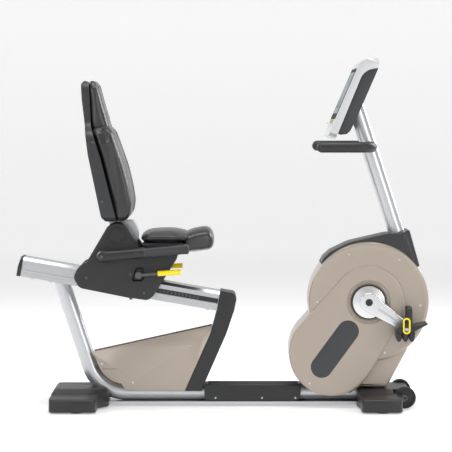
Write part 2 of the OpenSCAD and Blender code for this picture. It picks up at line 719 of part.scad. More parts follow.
// ---- Carriage and seat ----
apex_r = 52;
module carriage_outline(inset) polygon(concat(
    arc(tilt_x, tilt_z, apex_r - inset, 142, 34, 8),
    round_poly([[85 - inset * 0.5, 146 - inset, 12], [236 - inset * 1.4, 122 - inset, 16],
        [132 - inset * 1.4, -42, 30],
        [111 - inset, -59 + inset, 26], [31, -48 + inset, 0], [-159 + inset, -10 + inset, 34],
        [-182 + inset, 31, 30], [-158 + inset, 83, 60]])));
cover_in = side_plate_out + 3;
opening_z = 92;
module carriage_cover() on_carriage() difference() {
    slab(0.2, carriage_half) carriage_outline(0);
    slab(0, carriage_half - wall) carriage_outline(wall);
    // Passage for the rail
    rotate([0, rail_tilt, 0]) translate([-far, -1, -far])
        cube([2 * far, cover_in + 1, far + rail_h / 2 + gap]);
    // Opening for the seat's deck and the backrest's bracket
    translate([-52, -1, opening_z]) cube([far, side_plate_out + gap + 1, far]);
    rod(lever_x, lever_z, lever_shaft_r + gap, 0, far);
    slab(carriage_half - 12, far) polygon(round_poly([[46, 20, 4], [70, 66, 4], [88, 66, 4], [88, 20, 4]]));
}
module carriage_cover_left() color(mould_black) carriage_cover();
module carriage_cover_right() color(mould_black) mirror([0, 1, 0]) carriage_cover();
lever_shaft_r = 6;
top_w = rail_h / 2 + gap + roller_r;
low_w = -rail_h / 2 - gap - lower_r;
rear_roller_u = -100;
front_roller_u = 110;
lower_roller_u = 50;
module roller(u, w, r) on_carriage() rotate([0, rail_tilt, 0]) difference() {
    rod(u, w, r, -rail_w / 2 + 12, rail_w / 2 - 12);
    rod(u, w, axle_r + run_fit, -rail_w, rail_w);
}
module roller_rear() color("#e4e4e0") roller(rear_roller_u, top_w, roller_r);
module roller_front() color("#e4e4e0") roller(front_roller_u, top_w, roller_r);
module roller_lower() color("#e4e4e0") roller(lower_roller_u, low_w, lower_r);
deck_z = 128;
deck_t = 8;
// Height of the sloping deck's top face
function deck_top(x) = deck_z - 4 + deck_t - (x - 80) * 17 / 108;
pin_hole_r = 7;
pin_u = 24;
module carriage_frame() {
    color("#5c5f63") on_carriage() {
        difference() {
            both() slab(side_plate_in, side_plate_out) polygon(round_poly([[-150, 20, 20], [-134, 78, 20],
                [-46, 210, 12], [8, 210, 16], [74, deck_z + deck_t, 10], [202, deck_z - 16, 6],
                    [112, -46, 20],
                [100, -52, 10], [31, -40, 0], [-140, -8, 20]]));
            rod(tilt_x, tilt_z, 8, -far, far);
            rod(lever_x, lever_z, lever_shaft_r + run_fit, -far, far);
            rotate([0, rail_tilt, 0]) {
                rod(rear_roller_u, top_w, axle_r, -far, far);
                rod(front_roller_u, top_w, axle_r, -far, far);
                rod(lower_roller_u, low_w, axle_r, -far, far);
                rod(pin_u, 0, pin_hole_r + run_fit, -far, 0);
            }
        }
        // Deck under the seat, webs and the hinge pin
        slab(-side_plate_in, side_plate_in) polygon([[80, deck_top(80) - deck_t],
            [188, deck_top(188) - deck_t],
            [188, deck_top(188)], [80, deck_top(80)]]);
        slab(-side_plate_in, side_plate_in) polygon([[-118, 84], [-110, 84], [-90, 116], [-98, 116]]);
        rod(tilt_x, tilt_z, 8, -side_plate_out - 3, side_plate_out + 3);
        rotate([0, rail_tilt, 0]) {
            rod(rear_roller_u, top_w, axle_r, -side_plate_out, side_plate_out);
            rod(front_roller_u, top_w, axle_r, -side_plate_out, side_plate_out);
            rod(lower_roller_u, low_w, axle_r, -side_plate_out, side_plate_out);
        }
    }
}
cushion_low = 170;
module seat_pan() {
    color("#2b2c2e") on_carriage() {
        slab(-165, 165) polygon(round_poly([[92, cushion_low, 0], [92, 154, 6], [250, 133, 6],
            [262, 148, 4],
            [247, cushion_low, 0]]));
        slab(-50, 50) polygon([[100, deck_top(100)], [180, deck_top(180)], [180, 147], [100, 156]]);
    }
}
module seat_outline_plan() polygon(round_poly([[82, -150, 30], [96, -seat_half, 40], [235, -seat_half, 30],
    [268, -160, 30], [372, -140, 50], [372, 140, 50], [268, 160, 30], [235, seat_half, 30],
        [96, seat_half, 40],
    [82, 150, 30]]));
module seat_cushion() {
    color("#202124") on_carriage() difference() {
        intersection() {
            slab(-far, far) polygon(round_poly([[82, cushion_low, 6], [82, 202, 14], [240, 205, 60],
                [335, 222, 22],
                [372, 200, 22], [372, 137, 8], [266, 124, 8], [252, cushion_low, 4]]));
            linear_extrude(far) seat_outline_plan();
        }
        slab(-165 - gap, 165 + gap) polygon([[240, cushion_low], [263 + gap, cushion_low],
            [263 + gap, 120], [240, 120]]);
    }
}
handle_r = 19;
handle_x0 = -66;
handle_z0 = 117;
handle_x1 = 268;
handle_z1 = 147;
sleeve_from = 0.49;
function along(t) = [handle_x0 + (handle_x1 - handle_x0) * t, handle_z0 + (handle_z1 - handle_z0) * t];
module seat_handles() {
    color(mould_black) on_carriage() both() {
        rod(handle_x0, handle_z0, handle_r + 3, carriage_half, handle_half + handle_r);
        bar(handle_x0, handle_z0, along(sleeve_from)[0], along(sleeve_from)[1], handle_half, handle_r);
        bar(along(sleeve_from)[0], along(sleeve_from)[1], handle_x1, handle_z1, handle_half, handle_r - 5);
    }
}
module seat_handle_grips() {
    color("#46474a") on_carriage() both() difference() {
        bar(along(sleeve_from)[0], along(sleeve_from)[1], along(1.015)[0], along(1.015)[1],
            handle_half, handle_r + 1);
        bar(along(sleeve_from)[0], along(sleeve_from)[1], handle_x1, handle_z1, handle_half, handle_r - 5);
    }
}
rod_r = 6;
rod_in = handle_half - 6;
yellow_x = 151;
yellow_z = 50;
yellow_x1 = 241;
yellow_z1 = 56;
module release_lever() {
    color("#1d1e1f") on_carriage() {
        rod(lever_x, lever_z, lever_shaft_r, -rod_in - rod_r, rod_in + rod_r);
        both() {
            ring(lever_x, lever_z, 13, lever_shaft_r, rod_in - rod_r - 2, rod_in + rod_r);
            difference() {
                bar(lever_x, lever_z, yellow_x, yellow_z, rod_in - 1, rod_r);
                rod(lever_x, lever_z, 13, 0, far);
            }
            bar(yellow_x, yellow_z, yellow_x1 - 6, yellow_z1, rod_in - 1, rod_r - 1);
        }
    }
}
module lever_grips() {
    color("#f4dc00") on_carriage() both() difference() {
        bar(yellow_x, yellow_z, yellow_x1, yellow_z1, rod_in - 1, 10.5);
        bar(yellow_x, yellow_z, yellow_x1 - 6, yellow_z1, rod_in - 1, rod_r - 1);
    }
}
pin_travel = 8;
module lock_pin() {
    color("#b9bcc0") on_carriage() rotate([0, rail_tilt, 0]) {
        rod(pin_u, 0, pin_hole_r, -carriage_half + wall + pin_travel + 10, -rail_w / 2 - gap);
        rod(pin_u, 0, pin_hole_r + 6, -carriage_half + wall + pin_travel + 2,
            -carriage_half + wall + pin_travel + 10);
    }
}

// ---- Backrest ----
sector_r = 79;
bracket_half = 44;
module backrest_frame() {
    color("#c9ccce") on_carriage() {
        difference() {
            union() {
                both() slab(bracket_half - 6, bracket_half) polygon(concat(
                    arc(tilt_x, tilt_z, 24, 170, 330, 8),
                    arc(tilt_x, tilt_z, sector_r, -18, 44, 8),
                    [[12, 250], [-12, 300], [-42, 300], [-46, 244]]));
                slab(-bracket_half + 6, bracket_half - 6) difference() {
                    polygon(concat(arc(tilt_x, tilt_z, sector_r, -18, 44, 8),
                        arc(tilt_x, tilt_z, sector_r - 6, 44, -18, 8)));
                }
                both() ring(tilt_x, tilt_z, 18, 8 + run_fit, bracket_half, side_plate_in - 1);
            }
            rod(tilt_x, tilt_z, 8 + run_fit, -far, far);
        }
        slab(-bracket_half + 6, bracket_half - 6) polygon([[-34, 262], [-20, 262], [-20, 298], [-34, 298]]);
    }
}
back_low = 251;
back_top = 805;
shoulder_z = 620;
module back_plan(w, up, r) translate([-far, 0, 0]) rotate([90, 0, 90]) linear_extrude(2 * far)
    polygon(round_poly([[-w, back_low, r], [w, back_low, r], [w, shoulder_z - 30, 60],
        [up, shoulder_z + 12, 50],
        [up - 12, back_top, 50], [12 - up, back_top, 50], [-up, shoulder_z + 12, 50],
            [-w, shoulder_z - 30, 60]]));
module backrest_shell() {
    color(mould_black) on_carriage() difference() {
        intersection() {
            slab(-far, far) polygon(round_poly([[-53, back_low, 10], [-10, back_low, 0],
                [-10, 256, 0], [-70, 493, 0],
                [-111, 625, 0], [-119, 790, 0], [-137, 802, 4], [-151, 789, 10], [-147, 726, 0],
                    [-135, 629, 0],
                [-120, 511, 0], [-92, 375, 0], [-69, 268, 10]]));
            back_plan(back_half - 6, head_half - 4, 40);
        }
        slab(-bracket_half - gap, bracket_half + gap) polygon([[-47, 200], [16, 200], [16, 252],
            [-11, 301], [-44, 301]]);
    }
}
module backrest_cushion() {
    color("#202124") on_carriage() difference() {
        intersection() {
            slab(-far, far) polygon(round_poly([[-9.6, 256, 0], [-8, back_low, 6], [17, back_low, 10],
                [34, 258, 14],
                [58, 284, 20], [68, 325, 30], [58, 386, 60], [38, 465, 100], [10, 541, 100],
                    [-18, 612, 40], [-31, 630, 40],
                [-57, 704, 60], [-79, 783, 20], [-92, 803, 10], [-118.6, 790, 0], [-110.6, 625, 0],
                    [-69.6, 493, 0]]));
            back_plan(back_half, head_half, 50);
        }
        slab(-bracket_half - gap, bracket_half + gap) polygon([[-47, 200], [16, 200], [16, 252],
            [-11, 301], [-44, 301]]);
    }
}

base_tube();
tube_bend();
seat_upright();
base_plate();
crossbars();
rear_foot_cover();
front_foot_cover();
floor_pads();
front_post();
seat_rail();
rail_end_cap();
seat_rack();
side_panel_right();
side_panel_left();
panel_spacers();
step_cover();
cover_screws();
drive_frame();
crank_bearings();
drive_cover_right();
drive_cover_left();
drive_badges();
drive_belt();
mast();
mast_shroud();
handlebar();
handlebar_grips();
console_back();
console_bezel();
console_screen();
wheel_brackets();
transport_wheel_right();
transport_wheel_left();
carriage_frame();
carriage_cover_right();
carriage_cover_left();
seat_pan();
seat_cushion();
seat_handles();
seat_handle_grips();
roller_rear();
roller_front();
roller_lower();
release_lever();
lever_grips();
lock_pin();
backrest_frame();
backrest_shell();
backrest_cushion();
crank_spindle();
crank_arms();
crank_pulley();
pedal_right();
pedal_left();
pedal_strap_right();
pedal_strap_left();
flywheel();
key_start();
key_up();
key_down();
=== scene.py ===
# Recumbent exercise bike: the looks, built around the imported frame.
import json
import math

import bmesh
import bpy
from mathutils import Matrix, Vector
from mathutils.bvhtree import BVHTree


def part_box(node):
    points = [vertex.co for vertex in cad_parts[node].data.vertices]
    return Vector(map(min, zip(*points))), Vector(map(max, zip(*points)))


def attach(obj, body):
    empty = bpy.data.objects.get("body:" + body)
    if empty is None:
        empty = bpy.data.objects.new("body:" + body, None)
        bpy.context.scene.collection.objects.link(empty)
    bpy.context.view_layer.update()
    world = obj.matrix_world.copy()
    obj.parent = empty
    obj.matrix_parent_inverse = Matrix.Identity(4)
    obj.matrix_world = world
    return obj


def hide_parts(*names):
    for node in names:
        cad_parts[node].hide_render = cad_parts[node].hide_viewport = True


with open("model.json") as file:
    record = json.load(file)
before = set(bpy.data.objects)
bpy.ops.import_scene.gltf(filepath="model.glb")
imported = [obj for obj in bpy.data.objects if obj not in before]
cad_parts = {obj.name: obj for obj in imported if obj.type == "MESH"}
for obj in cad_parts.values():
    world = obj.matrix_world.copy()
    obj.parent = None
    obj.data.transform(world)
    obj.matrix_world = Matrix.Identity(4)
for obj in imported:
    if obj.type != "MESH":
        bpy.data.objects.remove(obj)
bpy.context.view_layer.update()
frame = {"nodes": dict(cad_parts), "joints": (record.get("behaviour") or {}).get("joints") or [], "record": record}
mm = 0.001
bothSides = (("right", -1), ("left", 1))
print("frame loaded:", len(frame["nodes"]), "nodes")


# Places that the frame gives
def jointPoint(name):
    return Vector(next(j["pos_m"] for j in frame["joints"] if j["name"] == name))


def jointAxis(name):
    return Vector(next(j["axis"] for j in frame["joints"] if j["name"] == name))


crankPoint = jointPoint("crank_spin")
wheelDrop = jointPoint("flywheel_spin") - crankPoint
tiltPoint = jointPoint("backrest_tilt")
railWay = jointAxis("seat_slide")
keyWay = jointAxis("key_start_press")
consoleLean = math.atan2(-keyWay.z, keyWay.x)
carriagePoint = tiltPoint - Vector((-9, 0, 195)) * mm


# Node groups that several finishes share
def newGroup(name, inputs, outputs):
    group = bpy.data.node_groups.new(name, "ShaderNodeTree")
    for label, kind, value in inputs:
        socket = group.interface.new_socket(label, in_out="INPUT", socket_type=kind)
        socket.default_value = value
    for label, kind in outputs:
        group.interface.new_socket(label, in_out="OUTPUT", socket_type=kind)
    return group, group.nodes.new("NodeGroupInput"), group.nodes.new("NodeGroupOutput")


def mathNode(tree, kind, first, second):
    node = tree.nodes.new("ShaderNodeMath")
    node.operation = kind
    for socket, value in zip(node.inputs, (first, second)):
        if isinstance(value, (int, float)):
            socket.default_value = value
        else:
            tree.links.new(value, socket)
    return node.outputs[0]


def stretchedPlace(tree, stretch):
    place = tree.nodes.new("ShaderNodeTexCoord")
    scaled = tree.nodes.new("ShaderNodeVectorMath")
    scaled.operation = "MULTIPLY"
    tree.links.new(place.outputs["Object"], scaled.inputs[0])
    tree.links.new(stretch, scaled.inputs[1])
    return scaled.outputs[0]


def noiseNode(tree, place, scale, detail):
    node = tree.nodes.new("ShaderNodeTexNoise")
    node.inputs["Detail"].default_value = detail
    tree.links.new(place, node.inputs["Vector"])
    if isinstance(scale, (int, float)):
        node.inputs["Scale"].default_value = scale
    else:
        tree.links.new(scale, node.inputs["Scale"])
    return node.outputs["Fac"]


def bumpNode(tree, height, depth, strength=1.0):
    node = tree.nodes.new("ShaderNodeBump")
    node.inputs["Strength"].default_value = strength
    tree.links.new(depth, node.inputs["Distance"])
    tree.links.new(height, node.inputs["Height"])
    return node.outputs["Normal"]


def shadeColour(tree, colour, amount):
    node = tree.nodes.new("ShaderNodeMix")
    node.data_type = "RGBA"
    node.blend_type = "MULTIPLY"
    node.inputs["Factor"].default_value = 1.0
    tree.links.new(colour, node.inputs["A"])
    tree.links.new(amount, node.inputs["B"])
    return node.outputs["Result"]


commonInputs = [("Color", "NodeSocketColor", (0.5, 0.5, 0.5, 1)), ("Shade", "NodeSocketFloat", 0.1),
                ("Scale", "NodeSocketFloat", 900.0), ("Stretch", "NodeSocketVector", (1, 1, 1)),
                ("Depth", "NodeSocketFloat", 0.0001), ("Roughness", "NodeSocketFloat", 0.4),
                ("Spread", "NodeSocketFloat", 0.1)]
commonOutputs = [("Color", "NodeSocketColor"), ("Roughness", "NodeSocketFloat"),
                 ("Normal", "NodeSocketVector")]


# Fine grain with faint cloudy patches: paint, moulded plastic, brushed metal and rubber
def makeGrainGroup():
    group, start, end = newGroup("surfaceGrain", commonInputs, commonOutputs)
    place = stretchedPlace(group, start.outputs["Stretch"])
    fine = noiseNode(group, place, start.outputs["Scale"], 3)
    cloud = noiseNode(group, place, 7.0, 4)
    both = mathNode(group, "ADD", mathNode(group, "MULTIPLY", fine, 0.6),
                    mathNode(group, "MULTIPLY", cloud, 0.4))
    swing = mathNode(group, "SUBTRACT", both, 0.5)
    tone = mathNode(group, "ADD", mathNode(group, "MULTIPLY", swing, start.outputs["Shade"]), 1.0)
    group.links.new(shadeColour(group, start.outputs["Color"], tone), end.inputs["Color"])
    rough = mathNode(group, "MULTIPLY", swing, start.outputs["Spread"])
    group.links.new(mathNode(group, "ADD", rough, start.outputs["Roughness"]), end.inputs["Roughness"])
    group.links.new(bumpNode(group, fine, start.outputs["Depth"]), end.inputs["Normal"])
    return group


# Pebbled hide with fine creases, for the upholstery
def makeHideGroup():
    group, start, end = newGroup("hideGrain", commonInputs, commonOutputs)
    place = stretchedPlace(group, start.outputs["Stretch"])
    cells = group.nodes.new("ShaderNodeTexVoronoi")
    cells.feature = "SMOOTH_F1"
    cells.inputs["Smoothness"].default_value = 0.6
    group.links.new(place, cells.inputs["Vector"])
    group.links.new(start.outputs["Scale"], cells.inputs["Scale"])
    crease = noiseNode(group, place, 34.0, 5)
    height = mathNode(group, "ADD", mathNode(group, "MULTIPLY", cells.outputs["Distance"], -0.7), crease)
    swing = mathNode(group, "SUBTRACT", crease, 0.5)
    tone = mathNode(group, "ADD", mathNode(group, "MULTIPLY", swing, start.outputs["Shade"]), 1.0)
    group.links.new(shadeColour(group, start.outputs["Color"], tone), end.inputs["Color"])
    rough = mathNode(group, "MULTIPLY", cells.outputs["Distance"], start.outputs["Spread"])
    group.links.new(mathNode(group, "ADD", rough, start.outputs["Roughness"]), end.inputs["Roughness"])
    group.links.new(bumpNode(group, height, start.outputs["Depth"]), end.inputs["Normal"])
    return group


grainGroup = makeGrainGroup()
hideGroup = makeHideGroup()


def finish(name, color, roughness, metallic=0.0, group=None, shade=0.12, scale=900.0, stretch=(1, 1, 1),
           depth=0.00008, spread=0.12, coat=0.0, coatRoughness=0.1, specular=0.5, sheen=0.0):
    material = bpy.data.materials.new(name)
    material.use_nodes = True
    tree = material.node_tree
    shader = tree.nodes["Principled BSDF"]
    grain = tree.nodes.new("ShaderNodeGroup")
    grain.node_tree = group or grainGroup
    values = {"Color": (*color, 1), "Shade": shade, "Scale": scale, "Stretch": stretch, "Depth": depth,
              "Roughness": roughness, "Spread": spread}
    for label, value in values.items():
        grain.inputs[label].default_value = value
    tree.links.new(grain.outputs["Color"], shader.inputs["Base Color"])
    tree.links.new(grain.outputs["Roughness"], shader.inputs["Roughness"])
    tree.links.new(grain.outputs["Normal"], shader.inputs["Normal"])
    shader.inputs["Metallic"].default_value = metallic
    shader.inputs["Coat Weight"].default_value = coat
    shader.inputs["Coat Roughness"].default_value = coatRoughness
    shader.inputs["Specular IOR Level"].default_value = specular
    shader.inputs["Sheen Weight"].default_value = sheen
    material.diffuse_color = (*color, 1)
    return material


champagnePaint = finish("champagnePaint", (0.385, 0.325, 0.272), 0.36, 0.2, shade=0.16, scale=1500,
                        depth=0.00003, coat=0.45, coatRoughness=0.2)
silverPaint = finish("silverPaint", (0.56, 0.57, 0.585), 0.32, 0.8, shade=0.08, scale=1800, depth=0.00002,
                     coat=0.3, coatRoughness=0.15)
railAluminium = finish("railAluminium", (0.52, 0.53, 0.545), 0.30, 0.95, shade=0.14, scale=60,
                       stretch=(0.25, 26, 26), depth=0.00003, spread=0.22)
satinSteel = finish("satinSteel", (0.55, 0.56, 0.58), 0.34, 0.95, shade=0.15, scale=300, stretch=(1, 6, 1),
                    depth=0.00002, spread=0.2)
frameSteel = finish("frameSteel", (0.09, 0.092, 0.097), 0.45, 0.3, shade=0.2, scale=700)
blackMould = finish("blackMould", (0.014, 0.0145, 0.016), 0.40, shade=0.35, scale=1300, depth=0.00012,
                    spread=0.16)
greyMould = finish("greyMould", (0.026, 0.027, 0.029), 0.38, shade=0.25, scale=1300, depth=0.0001,
                   spread=0.14)
consoleGrey = finish("consoleGrey", (0.040, 0.041, 0.045), 0.42, shade=0.2, scale=1200, depth=0.0001)
badgeGrey = finish("badgeGrey", (0.030, 0.032, 0.037), 0.36, 0.1, shade=0.15, scale=1500, depth=0.00004,
                   coat=0.2)
gripRubber = finish("gripRubber", (0.016, 0.016, 0.017), 0.42, shade=0.4, scale=1600, depth=0.00018,
                    spread=0.2)
tyreRubber = finish("tyreRubber", (0.022, 0.022, 0.023), 0.66, shade=0.4, scale=800, depth=0.0002,
                    spread=0.15)
seatHide = finish("seatHide", (0.011, 0.0112, 0.0122), 0.27, group=hideGroup, shade=0.5, scale=620,
                  depth=0.00022, spread=0.18, specular=0.6, coat=0.25, coatRoughness=0.3)
yellowPlastic = finish("yellowPlastic", (0.93, 0.72, 0.0), 0.34, shade=0.08, scale=1200, depth=0.00004,
                       coat=0.3)
crankMetal = finish("crankMetal", (0.72, 0.725, 0.735), 0.24, 0.95, shade=0.07, scale=1400, depth=0.00002,
                    spread=0.1)
bezelSilver = finish("bezelSilver", (0.66, 0.67, 0.685), 0.36, 0.6, shade=0.06, scale=1600, depth=0.00002,
                     coat=0.2)
nylonWhite = finish("nylonWhite", (0.66, 0.66, 0.62), 0.5, shade=0.1)
darkScreen = finish("darkScreen", (0.006, 0.0065, 0.008), 0.22, shade=0.2, depth=0.0, spread=0.04,
                    specular=0.25)
faceBlack = finish("faceBlack", (0.014, 0.0145, 0.016), 0.6, shade=0.3, scale=1300, depth=0.0001,
                   specular=0.12)
stitchThread = finish("stitchThread", (0.06, 0.06, 0.062), 0.6, shade=0.3, scale=3000, depth=0.0001)
print("finishes made:", len(bpy.data.materials))


# Shaping
def roundPoly(points, steps=6):
    loop = []
    count = len(points)
    for i, point in enumerate(points):
        here = Vector(point[:2])
        radius = point[2] if len(point) > 2 else 0
        back = (Vector(points[i - 1][:2]) - here).normalized()
        ahead = (Vector(points[(i + 1) % count][:2]) - here).normalized()
        half = math.acos(max(-1.0, min(1.0, back.dot(ahead)))) / 2
        if radius < 0.01 or half > math.radians(89):
            loop.append(here)
            continue
        centre = here + (back + ahead).normalized() * radius / math.sin(half)
        start = here + back * radius / math.tan(half) - centre
        cross = -(back.x * ahead.y - back.y * ahead.x)
        sweep = math.copysign(math.pi - 2 * half, cross)
        for k in range(steps + 1):
            turn = sweep * k / steps
            loop.append(centre + Vector((start.x * math.cos(turn) - start.y * math.sin(turn),
                                         start.x * math.sin(turn) + start.y * math.cos(turn))))
    return loop


def arcPoints(x, y, radius, first, last, steps=24):
    turns = [math.radians(first + (last - first) * k / steps) for k in range(steps + 1)]
    return [Vector((x + radius * math.cos(t), y + radius * math.sin(t))) for t in turns]


def circlePoints(x, y, radius, steps=96):
    return arcPoints(x, y, radius, 0, 360, steps)[:-1]


# Two circles and the straight sides that touch both
def pillPoints(x0, y0, r0, x1, y1, r1, steps=48):
    way = math.degrees(math.atan2(y1 - y0, x1 - x0))
    side = math.degrees(math.acos((r0 - r1) / math.hypot(x1 - x0, y1 - y0)))
    return (arcPoints(x0, y0, r0, way + side, way + 360 - side, steps)
            + arcPoints(x1, y1, r1, way - side, way + side, steps))


# The loop moved inwards by an even amount
def insetLoop(loop, amount):
    area = sum(a.x * b.y - b.x * a.y for a, b in zip(loop, loop[1:] + loop[:1]))
    inward = math.copysign(1, area)
    moved = []
    for i, here in enumerate(loop):
        back = (here - loop[i - 1]).normalized()
        ahead = (loop[(i + 1) % len(loop)] - here).normalized()
        way = back + ahead
        if way.length < 1e-6:
            way = ahead
        way.normalize()
        normal = Vector((-way.y, way.x)) * inward
        stretch = max(0.5, abs(ahead.dot(way)))
        moved.append(here + normal * amount / stretch)
    return moved


def inSide(place, y):
    return Vector((place.x, y, place.y))


# Faces between rings of points, one after another; the ends are closed unless the stack is a loop
def skin(mesh, rings, closed=False):
    for first, second in zip(rings, rings[1:] + rings[:1] if closed else rings[1:]):
        for k in range(len(first)):
            j = (k + 1) % len(first)
            mesh.faces.new((first[k], first[j], second[j], second[k]))
    if not closed:
        mesh.faces.new(rings[0])
        mesh.faces.new(rings[-1])
    bmesh.ops.recalc_face_normals(mesh, faces=mesh.faces)
    return mesh


# Closed form from one outline in XZ: each step is (inset, y), in millimetres about the given point
def layered(outline, steps, at):
    mesh = bmesh.new()
    rings = []
    for inset, y in steps:
        loop = insetLoop(outline, inset) if inset else outline
        rings.append([mesh.verts.new(at + inSide(p, y) * mm) for p in loop])
    return skin(mesh, rings)


# Quarter round between a side wall and a face: a list of (inset, y) steps
def roundEdge(radius, face, out=1, steps=6, inset=0.0):
    turns = [math.pi / 2 * k / steps for k in range(steps + 1)]
    return [(inset + radius * (1 - math.cos(t)), face - out * radius * (1 - math.sin(t))) for t in turns]


def mirrored(mesh):
    bmesh.ops.transform(mesh, matrix=Matrix.Scale(-1, 4, (0, 1, 0)), verts=mesh.verts)
    bmesh.ops.reverse_faces(mesh, faces=mesh.faces)
    return mesh


# A form drawn for the left side, mirrored if it goes on the right
def sided(mesh, sign):
    return mesh if sign > 0 else mirrored(mesh)


def smoothBySharp(data, degrees):
    for face in data.polygons:
        face.use_smooth = True
    data.set_sharp_from_angle(angle=math.radians(degrees))


# A bmesh becomes a named object that rides on a body
def settle(name, mesh, material, body, degrees=38):
    data = bpy.data.meshes.new(name)
    mesh.to_mesh(data)
    mesh.free()
    smoothBySharp(data, degrees)
    data.materials.append(material)
    piece = bpy.data.objects.new(name, data)
    bpy.context.scene.collection.objects.link(piece)
    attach(piece, body)
    return piece


# Turns live modifiers into plain mesh
def baked(piece, degrees=38):
    bpy.context.view_layer.update()
    data = bpy.data.meshes.new_from_object(piece.evaluated_get(bpy.context.evaluated_depsgraph_get()))
    piece.modifiers.clear()
    piece.data = data
    smoothBySharp(data, degrees)
    return piece


def nodeMesh(node):
    mesh = bmesh.new()
    mesh.from_mesh(frame["nodes"][node].data)
    bmesh.ops.remove_doubles(mesh, verts=mesh.verts, dist=1e-5)
    bmesh.ops.dissolve_limit(mesh, angle_limit=math.radians(1.0), verts=mesh.verts, edges=mesh.edges)
    return mesh


# A CAD piece with its hard edges rounded off
def softened(node, material, body, width=1.5, segments=3, degrees=34, name=None):
    mesh = nodeMesh(node)
    piece = settle(name or node + "_skin", mesh, material, body, degrees)
    rounding = piece.modifiers.new("rounding", "BEVEL")
    rounding.width = width * mm
    rounding.segments = segments
    rounding.limit_method = "ANGLE"
    rounding.angle_limit = math.radians(degrees)
    rounding.harden_normals = False
    baked(piece, 46)
    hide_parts(node)
    return piece


# Round tube along a smooth line of points, as closed mesh
def tubeMesh(points, radius, sides=12, closed=False, flat=1.0, way=None):
    mesh = bmesh.new()
    count = len(points)
    rings = []
    side = Vector(way) if way else Vector((0, 1, 0))
    for i, here in enumerate(points):
        back = points[i - 1] if (i or closed) else here
        ahead = points[(i + 1) % count] if (i < count - 1 or closed) else here
        along = (ahead - back).normalized()
        across = (side - along * side.dot(along))
        if across.length < 1e-4:
            across = along.orthogonal()
        across.normalize()
        side = across
        up = along.cross(across)
        r = radius(i / max(1, count - 1)) if callable(radius) else radius
        ring = []
        for k in range(sides):
            t = 2 * math.pi * k / sides
            ring.append(mesh.verts.new(here + (across * math.cos(t) * flat + up * math.sin(t)) * r))
        rings.append(ring)
    return skin(mesh, rings, closed)


# Solid turned about an axis: profile is (distance along, radius) in millimetres
def turned(profile, at, way, sides=64):
    mesh = bmesh.new()
    way = Vector(way).normalized()
    across = way.orthogonal().normalized()
    up = way.cross(across)
    rings = []
    for along, radius in profile:
        centre = at + way * along * mm
        if radius < 1e-6:
            rings.append([mesh.verts.new(centre)])
            continue
        turns = [2 * math.pi * k / sides for k in range(sides)]
        rings.append([mesh.verts.new(centre + (across * math.cos(t) + up * math.sin(t)) * radius * mm)
                      for t in turns])
    for first, second in zip(rings, rings[1:]):
        for k in range(sides):
            j = (k + 1) % sides
            if len(first) == 1:
                mesh.faces.new((first[0], second[j], second[k]))
            elif len(second) == 1:
                mesh.faces.new((first[k], first[j], second[0]))
            else:
                mesh.faces.new((first[k], first[j], second[j], second[k]))
    for ring in (rings[0], rings[-1]):
        if len(ring) > 1:
            mesh.faces.new(ring)
    bmesh.ops.recalc_face_normals(mesh, faces=mesh.faces)
    return mesh


def combined(*meshes):
    whole = bmesh.new()
    for mesh in meshes:
        data = bpy.data.meshes.new("part")
        mesh.to_mesh(data)
        mesh.free()
        whole.from_mesh(data)
        bpy.data.meshes.remove(data)
    return whole


# Drive housing
housing = {"discRadius": 237, "drumRadius": 169, "half": 105, "skirtHalf": 87, "rise": 7, "pill": 143,
           "rim": 13, "holeRadius": 70, "dish": 17, "badgeRadius": 45}
drum = (wheelDrop.x / mm, wheelDrop.z / mm)


# Bowl-shaped plate with a round hole: outer rim rounded, hole dished inwards
def makeDriveCover():
    h = housing
    disc = circlePoints(0, 0, h["discRadius"], 128)
    discSide = [(0, 0.4)] + roundEdge(h["rim"], h["half"], steps=8) + [(h["rim"] + 2, h["half"] - 0.6)]
    discSide += [(h["rim"] + 30, h["half"] + 0.2), (h["discRadius"] - 90, h["half"] + 0.6)]
    discForm = layered(disc, discSide, crankPoint)
    pillLoop = pillPoints(0, 0, h["pill"], drum[0], drum[1], h["drumRadius"], 56)
    top = h["half"] + h["rise"]
    pillSide = [(0, 0.6)] + roundEdge(9, top, steps=7) + [(13, top + 0.3), (34, top + 0.6)]
    pillForm = layered(pillLoop, pillSide, crankPoint)
    skirt = roundPoly([(0, 0, 0), (drum[0] + 60, -337, 4), (74, -337, 14), (165, -168, 40)], 8)
    skirtForm = layered(skirt, [(0, 0.5)] + roundEdge(10, h["skirtHalf"], steps=6), crankPoint)
    return discForm, pillForm, skirtForm


# The hole and the tube's passage are cut from the closed forms
def cutWith(piece, cutter):
    helper = bpy.data.objects.new("cutter", bpy.data.meshes.new("cutter"))
    cutter.to_mesh(helper.data)
    cutter.free()
    bpy.context.scene.collection.objects.link(helper)
    cut = piece.modifiers.new("cut", "BOOLEAN")
    cut.operation = "DIFFERENCE"
    cut.solver = "EXACT"
    cut.object = helper
    baked(piece)
    bpy.data.objects.remove(helper)
    return piece


